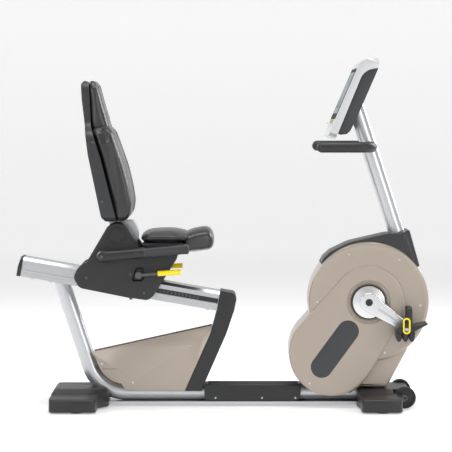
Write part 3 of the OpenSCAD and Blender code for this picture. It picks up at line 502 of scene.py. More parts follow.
def makeDriveSide(side, sign):
    h = housing
    pieces = []
    names = ("disc_cover", "pill_cover", "skirt_cover")
    for label, mesh in zip(names, makeDriveCover()):
        if sign < 0:
            mirrored(mesh)
        piece = settle(label + "_" + side, mesh, champagnePaint, "frame", 30)
        top = h["half"] + h["rise"] + 3
        if label != "skirt_cover":
            dish = [(-2, h["holeRadius"]), (top - 15, h["holeRadius"]), (top - 13, h["holeRadius"] + 1)]
            dish += [(top - 5, h["holeRadius"] + h["dish"] - 3),
                     (top - 2.6, h["holeRadius"] + h["dish"] - 0.5),
                     (top + 3, h["holeRadius"] + h["dish"] + 1)]
            cutWith(piece, turned(dish, crankPoint, (0, sign, 0), 96))
        pieces.append(piece)
    # Mast and frame tube pass between the two halves
    passage = layered(roundPoly([(30, 118, 0), (178, 100, 0), (250, 160, 0), (210, 300, 0), (40, 300, 0)]),
                      [(0, -39), (0, 39)], crankPoint)
    cutWith(pieces[0], passage)
    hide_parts("drive_cover_" + side)
    return pieces


# Painted ring set in the dish round the crank
def makeDishRing(side, sign):
    h = housing
    face = h["half"] + h["rise"]
    profile = [(face - 13.5, h["holeRadius"] - 2), (face - 11, h["holeRadius"] - 2),
               (face - 8.2, h["holeRadius"] + 3), (face - 2.4, h["holeRadius"] + 11.5),
               (face - 3.6, h["holeRadius"] + 12), (face - 13.5, h["holeRadius"] + 1.5)]
    mesh = bmesh.new()
    rings = []
    for along, radius in profile:
        loop = circlePoints(0, 0, radius, 96)
        rings.append([mesh.verts.new(crankPoint + inSide(p, sign * along) * mm) for p in loop])
    skin(mesh, rings, closed=True)
    settle("dish_ring_" + side, mesh, champagnePaint, "frame", 40)


def makeBadge(side, sign):
    h = housing
    loop = pillPoints(-82, -115, h["badgeRadius"], -185, -256, h["badgeRadius"], 32)
    face = h["half"] + h["rise"]
    edge = [(0, face - 3)] + roundEdge(2, face + 0.6, steps=4) + [(14, face + 0.8), (30, face + 0.9)]
    mesh = layered(loop, edge, crankPoint)
    piece = settle("badge_" + side, sided(mesh, sign), badgeGrey, "frame", 40)
    return piece


for side, sign in bothSides:
    makeDriveSide(side, sign)
    makeDishRing(side, sign)
    badge = makeBadge(side, sign)
    if side == "right":
        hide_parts("drive_badges")
print("drive housing made")


# Shroud, mast foot and its ridge
softened("mast_shroud", greyMould, "frame", width=5, segments=4)


mast = {"lean": 18, "foot": (148, 0, 171),
        "collar": [(78, 33), (78, 41), (92, 41.5), (101, 39), (104, 35.5), (104, 32.4), (92, 32.3)]}


def makeMastCollar():
    lean = math.radians(mast["lean"])
    way = Vector((-math.sin(lean), 0, math.cos(lean)))
    mesh = turned(mast["collar"], crankPoint + Vector(mast["foot"]) * mm, way, 64)
    settle("mast_collar", mesh, greyMould, "frame", 40)


makeMastCollar()


# Ridge down each side of the shroud, from the mast to the disc
def makeShroudRidge(side, sign):
    ends = (Vector((128, 264)), Vector((152, 262)), Vector((186, 150)), Vector((170, 158)))
    loop = roundPoly([(p.x, p.y, 5) for p in ends], 4)
    mesh = layered(loop, [(0, 88), (0, 92.4), (2.5, 95), (6, 95.6)], crankPoint)
    settle("shroud_ridge_" + side, sided(mesh, sign), consoleGrey, "frame", 40)


for side, sign in bothSides:
    makeShroudRidge(side, sign)
print("shroud made")


# Upholstery
padding = {"voxel": 0.0055, "pressure": 4.0, "frames": 20, "cap": 0.011, "seamGrip": 0.0045, "quality": 5,
           "mass": 0.3, "stiffness": 18, "bending": 0.6, "smoothing": 3}


def between(table, at):
    for (a, first), (b, second) in zip(table, table[1:]):
        if at <= b:
            return first + (second - first) * max(0.0, (at - a) / (b - a))
    return table[-1][1]


def superEllipse(turn, power):
    c, s = math.cos(turn), math.sin(turn)
    return (math.copysign(abs(c) ** (2 / power), c), math.copysign(abs(s) ** (2 / power), s))


# Closed form through rings of points; ring(i) gives the ring at a share of the way
def lofted(ring, rings=40):
    mesh = bmesh.new()
    loops = [[mesh.verts.new(p) for p in ring(i / rings)] for i in range(rings + 1)]
    return skin(mesh, loops)


# Swells a closed form like a filled cover, held along its seams
def upholster(name, mesh, body, seams=(), cap=None, material=None):
    piece = settle(name, mesh, material or seatHide, body, 180)
    remesh = piece.modifiers.new("even", "REMESH")
    remesh.mode = "VOXEL"
    remesh.voxel_size = padding["voxel"]
    baked(piece, 180)
    rest = [v.co.copy() for v in piece.data.vertices]
    held = piece.vertex_groups.new(name="seam")
    for v in piece.data.vertices:
        if any(abs(seam(v.co)) < padding["seamGrip"] for seam in seams):
            held.add([v.index], 1.0, "REPLACE")
    cloth = piece.modifiers.new("cover", "CLOTH")
    cloth.settings.quality = padding["quality"]
    cloth.settings.mass = padding["mass"]
    cloth.settings.tension_stiffness = padding["stiffness"]
    cloth.settings.compression_stiffness = padding["stiffness"]
    cloth.settings.bending_stiffness = padding["bending"]
    cloth.settings.use_pressure = True
    cloth.settings.uniform_pressure_force = padding["pressure"]
    cloth.settings.effector_weights.gravity = 0
    cloth.settings.vertex_group_mass = "seam"
    cloth.point_cache.frame_start = 1
    cloth.point_cache.frame_end = padding["frames"]
    scene = bpy.context.scene
    for step in range(1, padding["frames"] + 1):
        scene.frame_set(step)
    after = piece.evaluated_get(bpy.context.evaluated_depsgraph_get()).data
    moved = [v.co.copy() for v in after.vertices]
    piece.modifiers.clear()
    most = cap or padding["cap"]
    for v, old, new in zip(piece.data.vertices, rest, moved):
        shift = new - old
        if shift.length > most:
            shift *= most / shift.length
        v.co = old + shift
    scene.frame_set(1)
    smooth = piece.modifiers.new("smooth", "SMOOTH")
    smooth.factor = 0.5
    smooth.iterations = padding["smoothing"]
    fine = piece.modifiers.new("fine", "SUBSURF")
    fine.levels = 1
    fine.render_levels = 1
    baked(piece, 180)
    for group in list(piece.vertex_groups):
        piece.vertex_groups.remove(group)
    return piece


# Row of stitches along a line: each stitch is a short thread that follows it
def makeStitchTree():
    tree = bpy.data.node_groups.new("stitchRow", "GeometryNodeTree")
    tree.interface.new_socket("Line", in_out="INPUT", socket_type="NodeSocketGeometry")
    for label, kind, value in (("Spacing", "NodeSocketFloat", 0.007),
                               ("Stitch Length", "NodeSocketFloat", 0.0045),
                               ("Thread Radius", "NodeSocketFloat", 0.0007)):
        socket = tree.interface.new_socket(label, in_out="INPUT", socket_type=kind)
        socket.default_value = value
    tree.interface.new_socket("Material", in_out="INPUT", socket_type="NodeSocketMaterial")
    tree.interface.new_socket("Stitches", in_out="OUTPUT", socket_type="NodeSocketGeometry")
    start = tree.nodes.new("NodeGroupInput")
    end = tree.nodes.new("NodeGroupOutput")
    toCurve = tree.nodes.new("GeometryNodeMeshToCurve")
    points = tree.nodes.new("GeometryNodeCurveToPoints")
    points.mode = "LENGTH"
    thread = tree.nodes.new("GeometryNodeMeshCylinder")
    thread.inputs["Vertices"].default_value = 6
    place = tree.nodes.new("GeometryNodeInstanceOnPoints")
    real = tree.nodes.new("GeometryNodeRealizeInstances")
    paint = tree.nodes.new("GeometryNodeSetMaterial")
    link = tree.links.new
    link(start.outputs["Line"], toCurve.inputs["Mesh"])
    link(toCurve.outputs["Curve"], points.inputs["Curve"])
    link(start.outputs["Spacing"], points.inputs["Length"])
    link(start.outputs["Stitch Length"], thread.inputs["Depth"])
    link(start.outputs["Thread Radius"], thread.inputs["Radius"])
    link(points.outputs["Points"], place.inputs["Points"])
    link(points.outputs["Rotation"], place.inputs["Rotation"])
    link(thread.outputs["Mesh"], place.inputs["Instance"])
    link(place.outputs["Instances"], real.inputs["Geometry"])
    link(real.outputs["Geometry"], paint.inputs["Geometry"])
    link(start.outputs["Material"], paint.inputs["Material"])
    link(paint.outputs["Geometry"], end.inputs["Stitches"])
    return tree


def setInput(modifier, label, value):
    for item in modifier.node_group.interface.items_tree:
        if item.item_type == "SOCKET" and item.in_out == "INPUT" and item.name == label:
            modifier[item.identifier] = value


stitchTree = makeStitchTree()


def stitchAlong(name, lines, body, slotName, material=stitchThread, **sizes):
    data = bpy.data.meshes.new(name)
    points, edges = [], []
    for line in lines:
        edges += [(len(points) + i, len(points) + i + 1) for i in range(len(line) - 1)]
        points += line
    data.from_pydata(points, edges, [])
    piece = bpy.data.objects.new(name, data)
    bpy.context.scene.collection.objects.link(piece)
    row = piece.modifiers.new("stitches", "NODES")
    row.node_group = stitchTree
    setInput(row, "Material", material)
    for label, value in sizes.items():
        setInput(row, label, value)
    baked(piece, 60)
    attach(piece, body)
    return piece


# Points dropped onto a finished cushion along a direction
def ontoSurface(piece, points, way, lift=0.0):
    tree = BVHTree.FromObject(piece, bpy.context.evaluated_depsgraph_get())
    found = []
    way = Vector(way).normalized()
    for point in points:
        hit, normal, _, _ = tree.ray_cast(point - way * 0.3, way)
        if hit is None:
            hit, normal, _, _ = tree.find_nearest(point)
        found.append(hit + normal * lift)
    return found


def smoothLine(points, rounds=4):
    for _ in range(rounds):
        points = ([points[0]] + [(a + b * 2 + c) / 4 for a, b, c in zip(points, points[1:], points[2:])]
                  + [points[-1]])
    return points


seat = {"padTop": [(84, 196), (110, 206), (180, 208), (240, 205), (268, 204)], "padLow": 171,
        "half": [(84, 150), (96, 190), (112, 205), (225, 205), (268, 168)],
        "noseTop": [(235, 197), (262, 204), (300, 215), (335, 220), (352, 217), (366, 200)],
        "noseLow": [(235, 150), (258, 134), (268, 128), (330, 133), (360, 139), (367, 146)],
        "noseHalf": [(235, 158), (262, 160), (300, 152), (350, 138), (368, 120)]}


def seatRing(topTable, low, halfTable, first, last, power):
    def ring(share):
        eased = 0.5 - 0.5 * math.cos(math.pi * share)
        x = first + (last - first) * eased
        ends = min(1.0, (1 - abs(2 * eased - 1)) * 9 + 0.12)
        top = between(topTable, x)
        floor = between(low, x) if isinstance(low, list) else low
        half = between(halfTable, x) - 14 * (1 - math.sqrt(ends))
        centre, tall = (top + floor) / 2, (top - floor) / 2 * (0.55 + 0.45 * math.sqrt(ends))
        out = []
        for k in range(64):
            c, s = superEllipse(2 * math.pi * k / 64, power)
            crown = 5 * (1 - c * c) if s > 0 else 0
            out.append(carriagePoint + Vector((x, half * c, centre + tall * s + crown * max(0, s))) * mm)
        return out
    return ring


padForm = lofted(seatRing(seat["padTop"], seat["padLow"], seat["half"], 84, 268, 4.2))
noseForm = lofted(seatRing(seat["noseTop"], seat["noseLow"], seat["noseHalf"], 256, 367, 4.0))
beltHeight = carriagePoint.z + 0.189


def padSeam(p):
    return p.z - beltHeight


def noseSeam(p):
    return (p.x - carriagePoint.x - 0.300) * 0.92 + (p.z - carriagePoint.z - 0.205) * 0.3


seatPad = upholster("seat_pad", padForm, "carriage", [padSeam], 0.007)
seatNose = upholster("seat_nose", noseForm, "carriage", [noseSeam], 0.008)
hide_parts("seat_cushion")


def seatLines():
    half = [Vector(p) for p in ((100, -196), (112, -203), (180, -205), (226, -203), (252, -186))]
    lines = []
    for sign in (-1, 1):
        points = [carriagePoint + Vector((p.x, sign * abs(p.y), 189)) * mm for p in half]
        fine = [first.lerp(second, k / 8) for first, second in zip(points, points[1:]) for k in range(8)]
        fine.append(points[-1])
        lines.append(smoothLine(ontoSurface(seatPad, fine, (0, -sign, 0), 0.0002), 6))
    return lines


for i, line in enumerate(seatLines()):
    settle("seat_welt_%d" % (i + 1), tubeMesh(line, 0.0022, 8), seatHide, "carriage")
arch = [carriagePoint + Vector((296 - 3 * math.cos(t), 146 * math.sin(t), 260)) * mm
        for t in (math.pi * (k / 48 - 0.5) for k in range(49))]
noseLine = smoothLine(ontoSurface(seatNose, arch, (0, 0, -1), 0.0003), 5)
settle("seat_nose_welt", tubeMesh(noseLine, 0.0022, 8), seatHide, "carriage")
stitchAlong("seat_stitches", [[p + Vector((0.007, 0, 0.0004)) for p in noseLine[3:-3]]], "carriage",
            "seat_vinyl")
softened("seat_pan", blackMould, "carriage", width=4)
print("seat made")


# Backrest
back = {"front": [(252, 20), (262, 42), (284, 56), (325, 64), (386, 55), (465, 36), (541, 9), (600, -12),
                  (628, -34)],
        "rear": [(252, -9), (493, -70), (625, -110), (640, -111)],
        "half": [(252, 178), (275, 196), (330, 200), (560, 200), (600, 186), (628, 158)],
        "headFront": [(585, -22), (630, -36), (704, -60), (783, -82), (800, -94)],
        "headRear": [(585, -99), (625, -111), (800, -119)],
        "headHalf": [(585, 134), (640, 135), (770, 130), (800, 112)], "dip": 20}


def backRing(front, rear, halfTable, first, last, power, dip):
    def ring(share):
        eased = 0.5 - 0.5 * math.cos(math.pi * share)
        z = first + (last - first) * eased
        ends = min(1.0, (1 - abs(2 * eased - 1)) * 10 + 0.1)
        near, far = between(front, z), between(rear, z)
        half = between(halfTable, z) - 10 * (1 - math.sqrt(ends))
        centre, deep = (near + far) / 2, (near - far) / 2 * (0.6 + 0.4 * math.sqrt(ends))
        out = []
        for k in range(72):
            turn = 2 * math.pi * k / 72
            c, s = superEllipse(turn, power if turn < math.pi else 9)
            hollow = dip * ends * (1 - c * c) ** 1.5 if s > 0 else 0
            out.append(carriagePoint + Vector((centre + deep * s - hollow * max(0, s), half * c, z)) * mm)
        return out
    return ring


backForm = lofted(backRing(back["front"], back["rear"], back["half"], 252, 628, 3.6, back["dip"]), 56)
headForm = lofted(backRing(back["headFront"], back["headRear"], back["headHalf"], 585, 801, 3.4, 10), 40)
sidePlane = carriagePoint.z


# Sewn line a little behind the front edge of the bolsters
def bolsterSeam(p):
    x, z = (p.x - carriagePoint.x) / mm, (p.z - sidePlane) / mm
    if abs(p.y) < 0.17:
        return 1.0
    return (x - between(back["front"], z) + 24) * mm


def panelSeam(p):
    face = between(back["front"], (p.z - sidePlane) / mm)
    return abs(p.y) - 0.115 if p.x - carriagePoint.x > (face - 40) * mm else 1.0


backPad = upholster("back_pad", backForm, "backrest", [bolsterSeam, panelSeam], 0.008)
headPad = upholster("head_pad", headForm, "backrest", [lambda p: abs(p.y) - 0.085], 0.007)
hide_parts("backrest_cushion")


def bolsterLine(sign):
    heights = [280 + (606 - 280) * k / 60 for k in range(61)]
    points = [carriagePoint + Vector((between(back["front"], z) - 24, sign * 215, z)) * mm for z in heights]
    return smoothLine(ontoSurface(backPad, points, (0, -sign, 0), 0.0003), 6)


def panelLine(piece, table, y, first, last):
    heights = [first + (last - first) * k / 60 for k in range(61)]
    points = [carriagePoint + Vector((between(table, z) + 60, y, z)) * mm for z in heights]
    return smoothLine(ontoSurface(piece, points, (-1, 0, 0), 0.0003), 6)


welts = [bolsterLine(-1), bolsterLine(1)]
welts += [panelLine(backPad, back["front"], y, 285, 600) for y in (-115, 115)]
welts += [panelLine(headPad, back["headFront"], y, 650, 785) for y in (-85, 85)]
settle("back_welts", combined(*[tubeMesh(line, 0.0021, 8) for line in welts]), seatHide, "backrest")
stitchAlong("back_stitches", [[p + Vector((-0.007, 0, 0)) for p in line] for line in welts[:2]], "backrest",
            "seat_vinyl")


def makeBackShell():
    shell = softened("backrest_shell", greyMould, "backrest", width=4, segments=4)
    heads = []
    for sign in (-1, 1):
        for x, z in ((-66, 330), (-100, 560)):
            at = carriagePoint + Vector((x, sign * (198.5 if z < 600 else 135), z)) * mm
            heads.append(turned([(-1, 5), (0.8, 5), (1.4, 4), (1.4, 2), (0.6, 1.6)], at, (0, sign, 0), 24))
    settle("back_screws", combined(*heads), frameSteel, "backrest")
    return shell


makeBackShell()
print("backrest made")


# Crank and pedals
crank = {"hub": 64, "ringOut": 67.5, "arm": 124, "armHalf": 8, "hubRadius": 37, "endRadius": 20,
         "cap": 14.5}
pedalPoint = {"right": jointPoint("pedal_right_spin"), "left": jointPoint("pedal_left_spin")}


def makeCrankSide(side, sign):
    c = crank
    way = (pedalPoint[side] - crankPoint) / mm
    face = c["arm"] + c["armHalf"]
    hub = [(c["arm"] - 22, c["hub"] - 4), (c["arm"] - 21, c["hub"]), (c["arm"] - 7, c["hub"]),
           (c["arm"] - 4.6, c["hub"] - 1.5), (c["arm"] - 3.6, c["hub"] - 5), (c["arm"] - 2.2, 44),
           (c["arm"] - 0.5, 39)]
    disc = turned(hub, crankPoint, (0, sign, 0), 96)
    loop = pillPoints(0, 0, c["hubRadius"], way.x, way.z, c["endRadius"], 40)
    arm = layered(loop, [(0, c["arm"] - 7)] + roundEdge(4.5, face, steps=6) + [(8, face + 0.2)], crankPoint)
    sided(arm, sign)
    # A shallow channel runs down the arm's face
    unit = Vector((way.x, way.z)).normalized()
    inner = [crankPoint + inSide(unit * d, sign * (face + 0.4)) * mm for d in range(44, 140, 4)]
    channel = tubeMesh(inner, lambda t: (7.0 - 3.4 * t) * mm, 12, False, 0.12)
    collar = turned([(c["arm"] - 9, 15), (face + 2.4, 15), (face + 3.4, 13.5), (face + 3.4, 9)],
                    pedalPoint[side] - Vector((0, pedalPoint[side].y, 0)), (0, sign, 0), 48)
    settle("crank_arm_skin_" + side, combined(disc, arm, collar), crankMetal, "crank", 35)
    settle("crank_channel_" + side, channel, satinSteel, "crank", 60)
    cap = turned([(face - 1, c["cap"]), (face + 1.2, c["cap"]), (face + 2.6, c["cap"] - 1.5), (face + 3.0, 6),
                  (face + 2.2, 4)], crankPoint, (0, sign, 0), 48)
    rim = turned([(c["arm"] - 23, c["ringOut"]), (c["arm"] - 16, c["ringOut"]),
                  (c["arm"] - 14.5, c["ringOut"] - 1.5), (c["arm"] - 14.5, c["hub"] - 1)],
                 crankPoint, (0, sign, 0), 96)
    settle("crank_cap_" + side, combined(cap, rim), blackMould, "crank", 40)


for side, sign in bothSides:
    makeCrankSide(side, sign)
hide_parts("crank_arms")


pedal = {"inner": 138, "width": 96, "strapWidth": 23}


def makePedal(side, sign):
    at = pedalPoint[side] - Vector((0, pedalPoint[side].y, 0))
    outer = pedal["inner"] + pedal["width"]
    parts = []
    bodyLoop = roundPoly([(-44, -12, 4), (-30, 12, 6), (20, 12, 6), (80, 24, 2), (80, 17, 2), (34, -6, 6),
                          (24, -16, 6), (-40, -16, 2)], 5)
    parts.append(layered(bodyLoop, [(2, pedal["inner"]), (0, pedal["inner"] + 2), (0, outer - 2),
                                    (2, outer)], at))
    # Three rounded feet weight the pedal so that it hangs level
    for footX in (-30, -5, 20):
        foot = roundPoly([(footX - 12, -14, 1), (footX + 12, -14, 1), (footX + 10, -38, 6),
                          (footX + 5, -50, 5), (footX - 5, -50, 5), (footX - 10, -38, 6)], 5)
        parts.append(layered(foot, [(3, pedal["inner"] + 4), (0, pedal["inner"] + 7), (0, outer - 7),
                                    (3, outer - 4)], at))
    # Tread ribs across the top
    for x in range(-24, 20, 7):
        rib = roundPoly([(x - 1.6, 11, 0.5), (x + 1.6, 11, 0.5), (x + 1.2, 14, 0.8), (x - 1.2, 14, 0.8)], 3)
        parts.append(layered(rib, [(0, pedal["inner"] + 8), (0, outer - 8)], at))
    mesh = combined(*parts)
    sided(mesh, sign)
    piece = settle("pedal_body_" + side, mesh, blackMould, "pedal_" + side, 35)
    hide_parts("pedal_" + side)
    axle = turned([(outer - 6, 9), (outer + 1.4, 9), (outer + 2.6, 7.6), (outer + 2.6, 4)], at,
                  (0, sign, 0), 32)
    settle("pedal_cap_" + side, axle, satinSteel, "pedal_" + side, 40)


def strapPath(sign):
    low, high, out = 4, 84, pedal["inner"] + pedal["width"] + 4
    inn = pedal["inner"] - 1
    loop = roundPoly([(inn, low, 0), (inn, high, 16), (out, high, 16), (out, low, 0)], 8)
    return [Vector((0, sign * p.x, p.y)) for p in loop]


def makeStrap(side, sign):
    at = pedalPoint[side] - Vector((0, pedalPoint[side].y, 0))
    path = [at + (Vector((10, 0, 0)) + p) * mm for p in strapPath(sign)]
    mesh = bmesh.new()
    half, thick = pedal["strapWidth"] / 2 * mm, 1.4 * mm
    rings = []
    for i, here in enumerate(path):
        along = (path[min(i + 1, len(path) - 1)] - path[max(i - 1, 0)]).normalized()
        wide = Vector((1, 0, 0))
        normal = along.cross(wide)
        taper = half * (1.0 - 0.18 * max(0, (here.z - at.z) / mm - 30) / 54)
        corners = [(-1, -0.7), (-0.93, -1), (0.93, -1), (1, -0.7), (1, 0.7), (0.93, 1), (-0.93, 1), (-1, 0.7)]
        rings.append([mesh.verts.new(here + wide * taper * a + normal * thick * b) for a, b in corners])
    strap = settle("strap_band_" + side, skin(mesh, rings), gripRubber, "pedal_" + side, 50)
    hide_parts("pedal_strap_" + side)
    outer = pedal["inner"] + pedal["width"] + 4
    ring = pillPoints(-2, -4, 11.5, -2, 30, 11.5, 24)
    points = [at + inSide(p, sign * (outer + 4.5)) * mm for p in ring]
    buckle = tubeMesh(points, 3.4 * mm, 12, True, 0.9)
    hub = layered(circlePoints(-2, 13, 9, 40), [(0, outer)] + roundEdge(2, outer + 4.6, steps=3), at)
    sided(hub, sign)
    settle("buckle_" + side, buckle, yellowPlastic, "pedal_" + side, 60)
    settle("buckle_hub_" + side, hub, blackMould, "pedal_" + side, 40)
    eyes = [at + (Vector((10, 0, 0)) + Vector((0, sign * (outer + 2.2), z))) * mm for z in (44, 52, 60, 68)]
    holes = [turned([(0, 2.6), (0.9, 2.6), (1.1, 2.0)], eye - Vector((0, sign * 0.001, 0)), (0, sign, 0), 16)
             for eye in eyes]
    settle("strap_eyes_" + side, combined(*holes), blackMould, "pedal_" + side, 40)


for side, sign in bothSides:
    makePedal(side, sign)
    makeStrap(side, sign)
print("crank and pedals made")


# Seat carriage
handle = {"radius": 20, "half": 200, "start": (-66, 117), "end": (268, 147), "sleeve": 0.49,
          "sleeveRadius": 20.5, "ribs": 46,
          "swell": 4.5, "elbowAt": 0.42, "elbowReach": 0.28}


carriage = {"outer": 150, "bolts": ((42, 44), (-130, 30), (96, -30)),
            "pocket": [(44, 16, 8), (64, 70, 8), (94, 70, 10), (102, 40, 10), (90, 16, 8)]}


def makeCarriageCover(side, sign):
    outer = carriage["outer"]
    arch = arcPoints(-9, 195, 52, 142, 34, 12)
    rest = roundPoly([(85, 146, 12), (236, 122, 16), (132, -42, 30), (111, -59, 26), (31, -48, 0),
                      (-159, -10, 34), (-182, 31, 30), (-158, 83, 60)], 8)
    mesh = layered(arch + rest, [(0, 85.4), (0, outer - 10)] + roundEdge(8, outer, steps=7), carriagePoint)
    piece = settle("cover_skin_" + side, sided(mesh, sign), blackMould, "carriage", 32)
    pocketLoop = roundPoly(carriage["pocket"], 5)
    pocket = layered(pocketLoop,
                     [(6, outer - 12), (3, outer - 6), (0, outer + 6)], carriagePoint)
    cutWith(piece, sided(pocket, sign))
    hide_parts("carriage_cover_" + side)
    boss = turned([(outer - 3, 33), (outer + 1.5, 33), (outer + 3.4, 31), (outer + 3.6, 26),
                   (outer + 2.2, 24.5), (outer + 2.2, 8)], tiltPoint, (0, sign, 0), 64)
    ridge = [carriagePoint + inSide(p, sign * (outer + 0.8)) * mm for p in pocketLoop]
    lip = tubeMesh(ridge, 1.6 * mm, 8, True)
    settle("cover_trim_" + side, combined(boss, lip), blackMould, "carriage", 40)
    heads = []
    for x, z in carriage["bolts"]:
        at = carriagePoint + Vector((x, 0, z)) * mm
        heads.append(turned([(outer - 2, 4.6), (outer + 1.4, 4.6), (outer + 2.0, 3.8), (outer + 2.0, 2),
                             (outer + 1.2, 1.7)], at, (0, sign, 0), 24))
    settle("cover_bolts_" + side, combined(*heads), frameSteel, "carriage", 40)


def handlePoint(share, sign):
    (x0, z0), (x1, z1) = handle["start"], handle["end"]
    return carriagePoint + Vector((x0 + (x1 - x0) * share, sign * handle["half"],
                                   z0 + (z1 - z0) * share)) * mm


def makeHandle(side, sign):
    h = handle
    inner = handlePoint(0, sign)
    inner.y = sign * 0.146
    path = [inner, inner.lerp(handlePoint(0, sign), 0.35)]
    bend = 22 * mm
    corner = handlePoint(0, sign)
    for k in range(9):
        t = k / 8
        first = corner - Vector((0, sign * bend, 0))
        last = corner + (handlePoint(1, sign) - corner).normalized() * bend
        path.append(first * (1 - t) ** 2 + corner * 2 * t * (1 - t) + last * t ** 2)
    path += [handlePoint(s, sign) for s in (0.12, 0.2, 0.3, 0.4, h["sleeve"])]

    def swell(t):
        return (h["radius"] + h["swell"] * math.exp(-((t - h["elbowAt"]) / h["elbowReach"]) ** 2)) * mm

    grip = tubeMesh(path, swell, 28)
    end = (handlePoint(1, sign) - handlePoint(0, sign)).normalized()
    piece = settle("seat_handle_" + side, grip, blackMould, "carriage", 60)
    long = (handlePoint(1, sign) - handlePoint(h["sleeve"], sign)).length / mm
    profile = [(0, 16), (0, h["sleeveRadius"])]
    step = (long - 14) / h["ribs"]
    for k in range(h["ribs"]):
        at = 4 + k * step
        profile += [(at, h["sleeveRadius"]), (at + step * 0.3, h["sleeveRadius"] - 1.1),
                    (at + step * 0.6, h["sleeveRadius"] - 1.1), (at + step * 0.85, h["sleeveRadius"])]
    profile += [(long - 8, h["sleeveRadius"]), (long - 8, 16)]
    sleeve = settle("ribbed_grip_" + side, turned(profile, handlePoint(h["sleeve"], sign), end, 48),
                    consoleGrey, "carriage", 50)
    cap = turned([(long - 10, 12), (long - 9, h["sleeveRadius"] + 0.6), (long - 2, h["sleeveRadius"] + 0.6),
                  (long + 3, 17), (long + 5.4, 11), (long + 6, 0)], handlePoint(h["sleeve"], sign), end, 48)
    settle("grip_end_" + side, cap, greyMould, "carriage", 50)
    bolt = turned([(0, 6), (1.6, 6), (2.2, 5), (2.2, 3), (1.4, 2.6)],
                  corner + Vector((0, sign * 22.5, 0)) * mm, (0, sign, 0), 32)
    settle("handle_bolt_" + side, bolt, frameSteel, "carriage", 40)
    return piece, sleeve


for side, sign in bothSides:
    makeCarriageCover(side, sign)
    handlePiece, sleevePiece = makeHandle(side, sign)
    if side == "right":
        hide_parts("seat_handles")
        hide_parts("seat_handle_grips")
softened("lever_grips", yellowPlastic, "release_lever", width=3, segments=4)
print("carriage made")


# Base, rail and post
softened("rear_foot_cover", blackMould, "frame", width=1.2, degrees=50)
softened("front_foot_cover", blackMould, "frame", width=1.2, degrees=50)
softened("front_post", blackMould, "frame", width=4, segments=4)
softened("rail_end_cap", blackMould, "frame", width=3, segments=4)
softened("step_cover", blackMould, "frame", width=1.4)
softened("transport_wheel_right", tyreRubber, "transport_wheel_right", width=2)
softened("transport_wheel_left", tyreRubber, "transport_wheel_left", width=2)


def makePanel(side, sign):
    panel = softened("side_panel_" + side, champagnePaint, "frame", width=1.4, segments=3)
    low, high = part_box("side_panel_" + side)
    face = sign * (max(abs(low.y), abs(high.y)) + 0.0004)
    left = low.x + 0.035
    line = [Vector((left + 0.062 * k / 8, face, 0.148)) for k in range(9)]
    settle("panel_stripe_" + side, tubeMesh(line, 0.0007, 6, False, 1.0), badgeGrey, "frame")
    return panel


for side, sign in bothSides:
    makePanel(side, sign)


# Dark sheet just inside the rack, behind its slots: painted shade seen through the slots
def makeRackSlotShade():
    low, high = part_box("seat_rack")
    along = Vector(railWay)
    middlePoint = (low + high) / 2
    long = (high.x - low.x) / along.x / 2 - 0.004
    across = along.cross(Vector((0, 1, 0)))
    mesh = bmesh.new()
    corners = []
    planes = (low.y + 0.0004, low.y + 0.0016)
    if abs(low.y) >= abs(high.y):
        planes = (high.y - 0.0016, high.y - 0.0004)
    for y in planes:
        centre = Vector((middlePoint.x, y, middlePoint.z))
        corners.append([mesh.verts.new(centre + along * a * long + across * b * 0.0082)
                        for a, b in ((-1, -1), (1, -1), (1, 1), (-1, 1))])
    # The dark sheet is painted shade for the hollow behind the slots
    settle("rack_slot_shade", skin(mesh, corners), frameSteel, "frame")


makeRackSlotShade()


# Ribbed tread on the step between the seat and the pedals
tread = {"ribs": 15, "sideGap": 0.017, "endGap": 0.014, "radius": 0.0014}


def makeTread():
    low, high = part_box("step_cover")
    ribs = []
    gap = tread["endGap"]
    for i in range(tread["ribs"]):
        y = (i / (tread["ribs"] - 1) - 0.5) * (high.y - low.y - 2 * tread["sideGap"])
        points = [Vector((x, y, high.z)) for x in (low.x + gap, (low.x + high.x) / 2, high.x - gap)]
        ribs.append(tubeMesh(points, tread["radius"], 8))
    settle("step_tread", combined(*ribs), gripRubber, "frame", 60)


makeTread()
print("base made")


# Handlebar and console: foam sleeves over both ends of the handlebar
bar = {"bend": 58, "radius": 21, "inner": 56}


def makeBarGrip(side, sign):
    low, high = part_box("handlebar_grips")
    r = bar["radius"] * mm
    bend = bar["bend"] * mm
    height = (low.z + high.z) / 2
    front = high.x - r
    reach = high.y - r
    path = [Vector((front, sign * bar["inner"] * mm, height)),
            Vector((front, sign * (reach - bend) * 0.7, height))]
    for k in range(13):
        t = math.pi / 2 * k / 12
        path.append(Vector((front - bend * (1 - math.cos(t)), sign * (reach - bend * (1 - math.sin(t))),
                            height)))
    path += [Vector((front - bend - 20 * mm, sign * reach, height)),
             Vector((low.x + r, sign * reach, height))]
    tip = path[-1]
    steps = [(r * math.sin(t), r * math.cos(t)) for t in (math.pi / 2 * k / 8 for k in range(1, 8))]
    path += [tip - Vector((ahead, 0, 0)) for ahead, size in steps]
    sizes = [r] * (len(path) - len(steps)) + [size for ahead, size in steps]
    grip = tubeMesh(path, lambda t: sizes[round(t * (len(path) - 1))], 32, way=(0, 0, 1))
    settle("foam_grip_" + side, grip, gripRubber, "frame", 50)


for side, sign in bothSides:
    makeBarGrip(side, sign)
softened("console_back", consoleGrey, "frame", width=3, segments=4)
softened("console_bezel", bezelSilver, "frame", width=2.5, segments=4)
faceAway = -keyWay
faceUp = Vector((math.sin(consoleLean), 0, math.cos(consoleLean)))
screenLow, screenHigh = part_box("console_screen")
screenMiddle = (screenLow + screenHigh) / 2
display = {"bars": 12, "barStep": 22, "barLeast": 12, "barGrowth": 44, "depth": 10.6}


def onScreen(across, up, lift):
    away = faceAway * (display["depth"] + lift) * mm
    return screenMiddle + away + faceUp * up * mm + Vector((0, across * mm, 0))


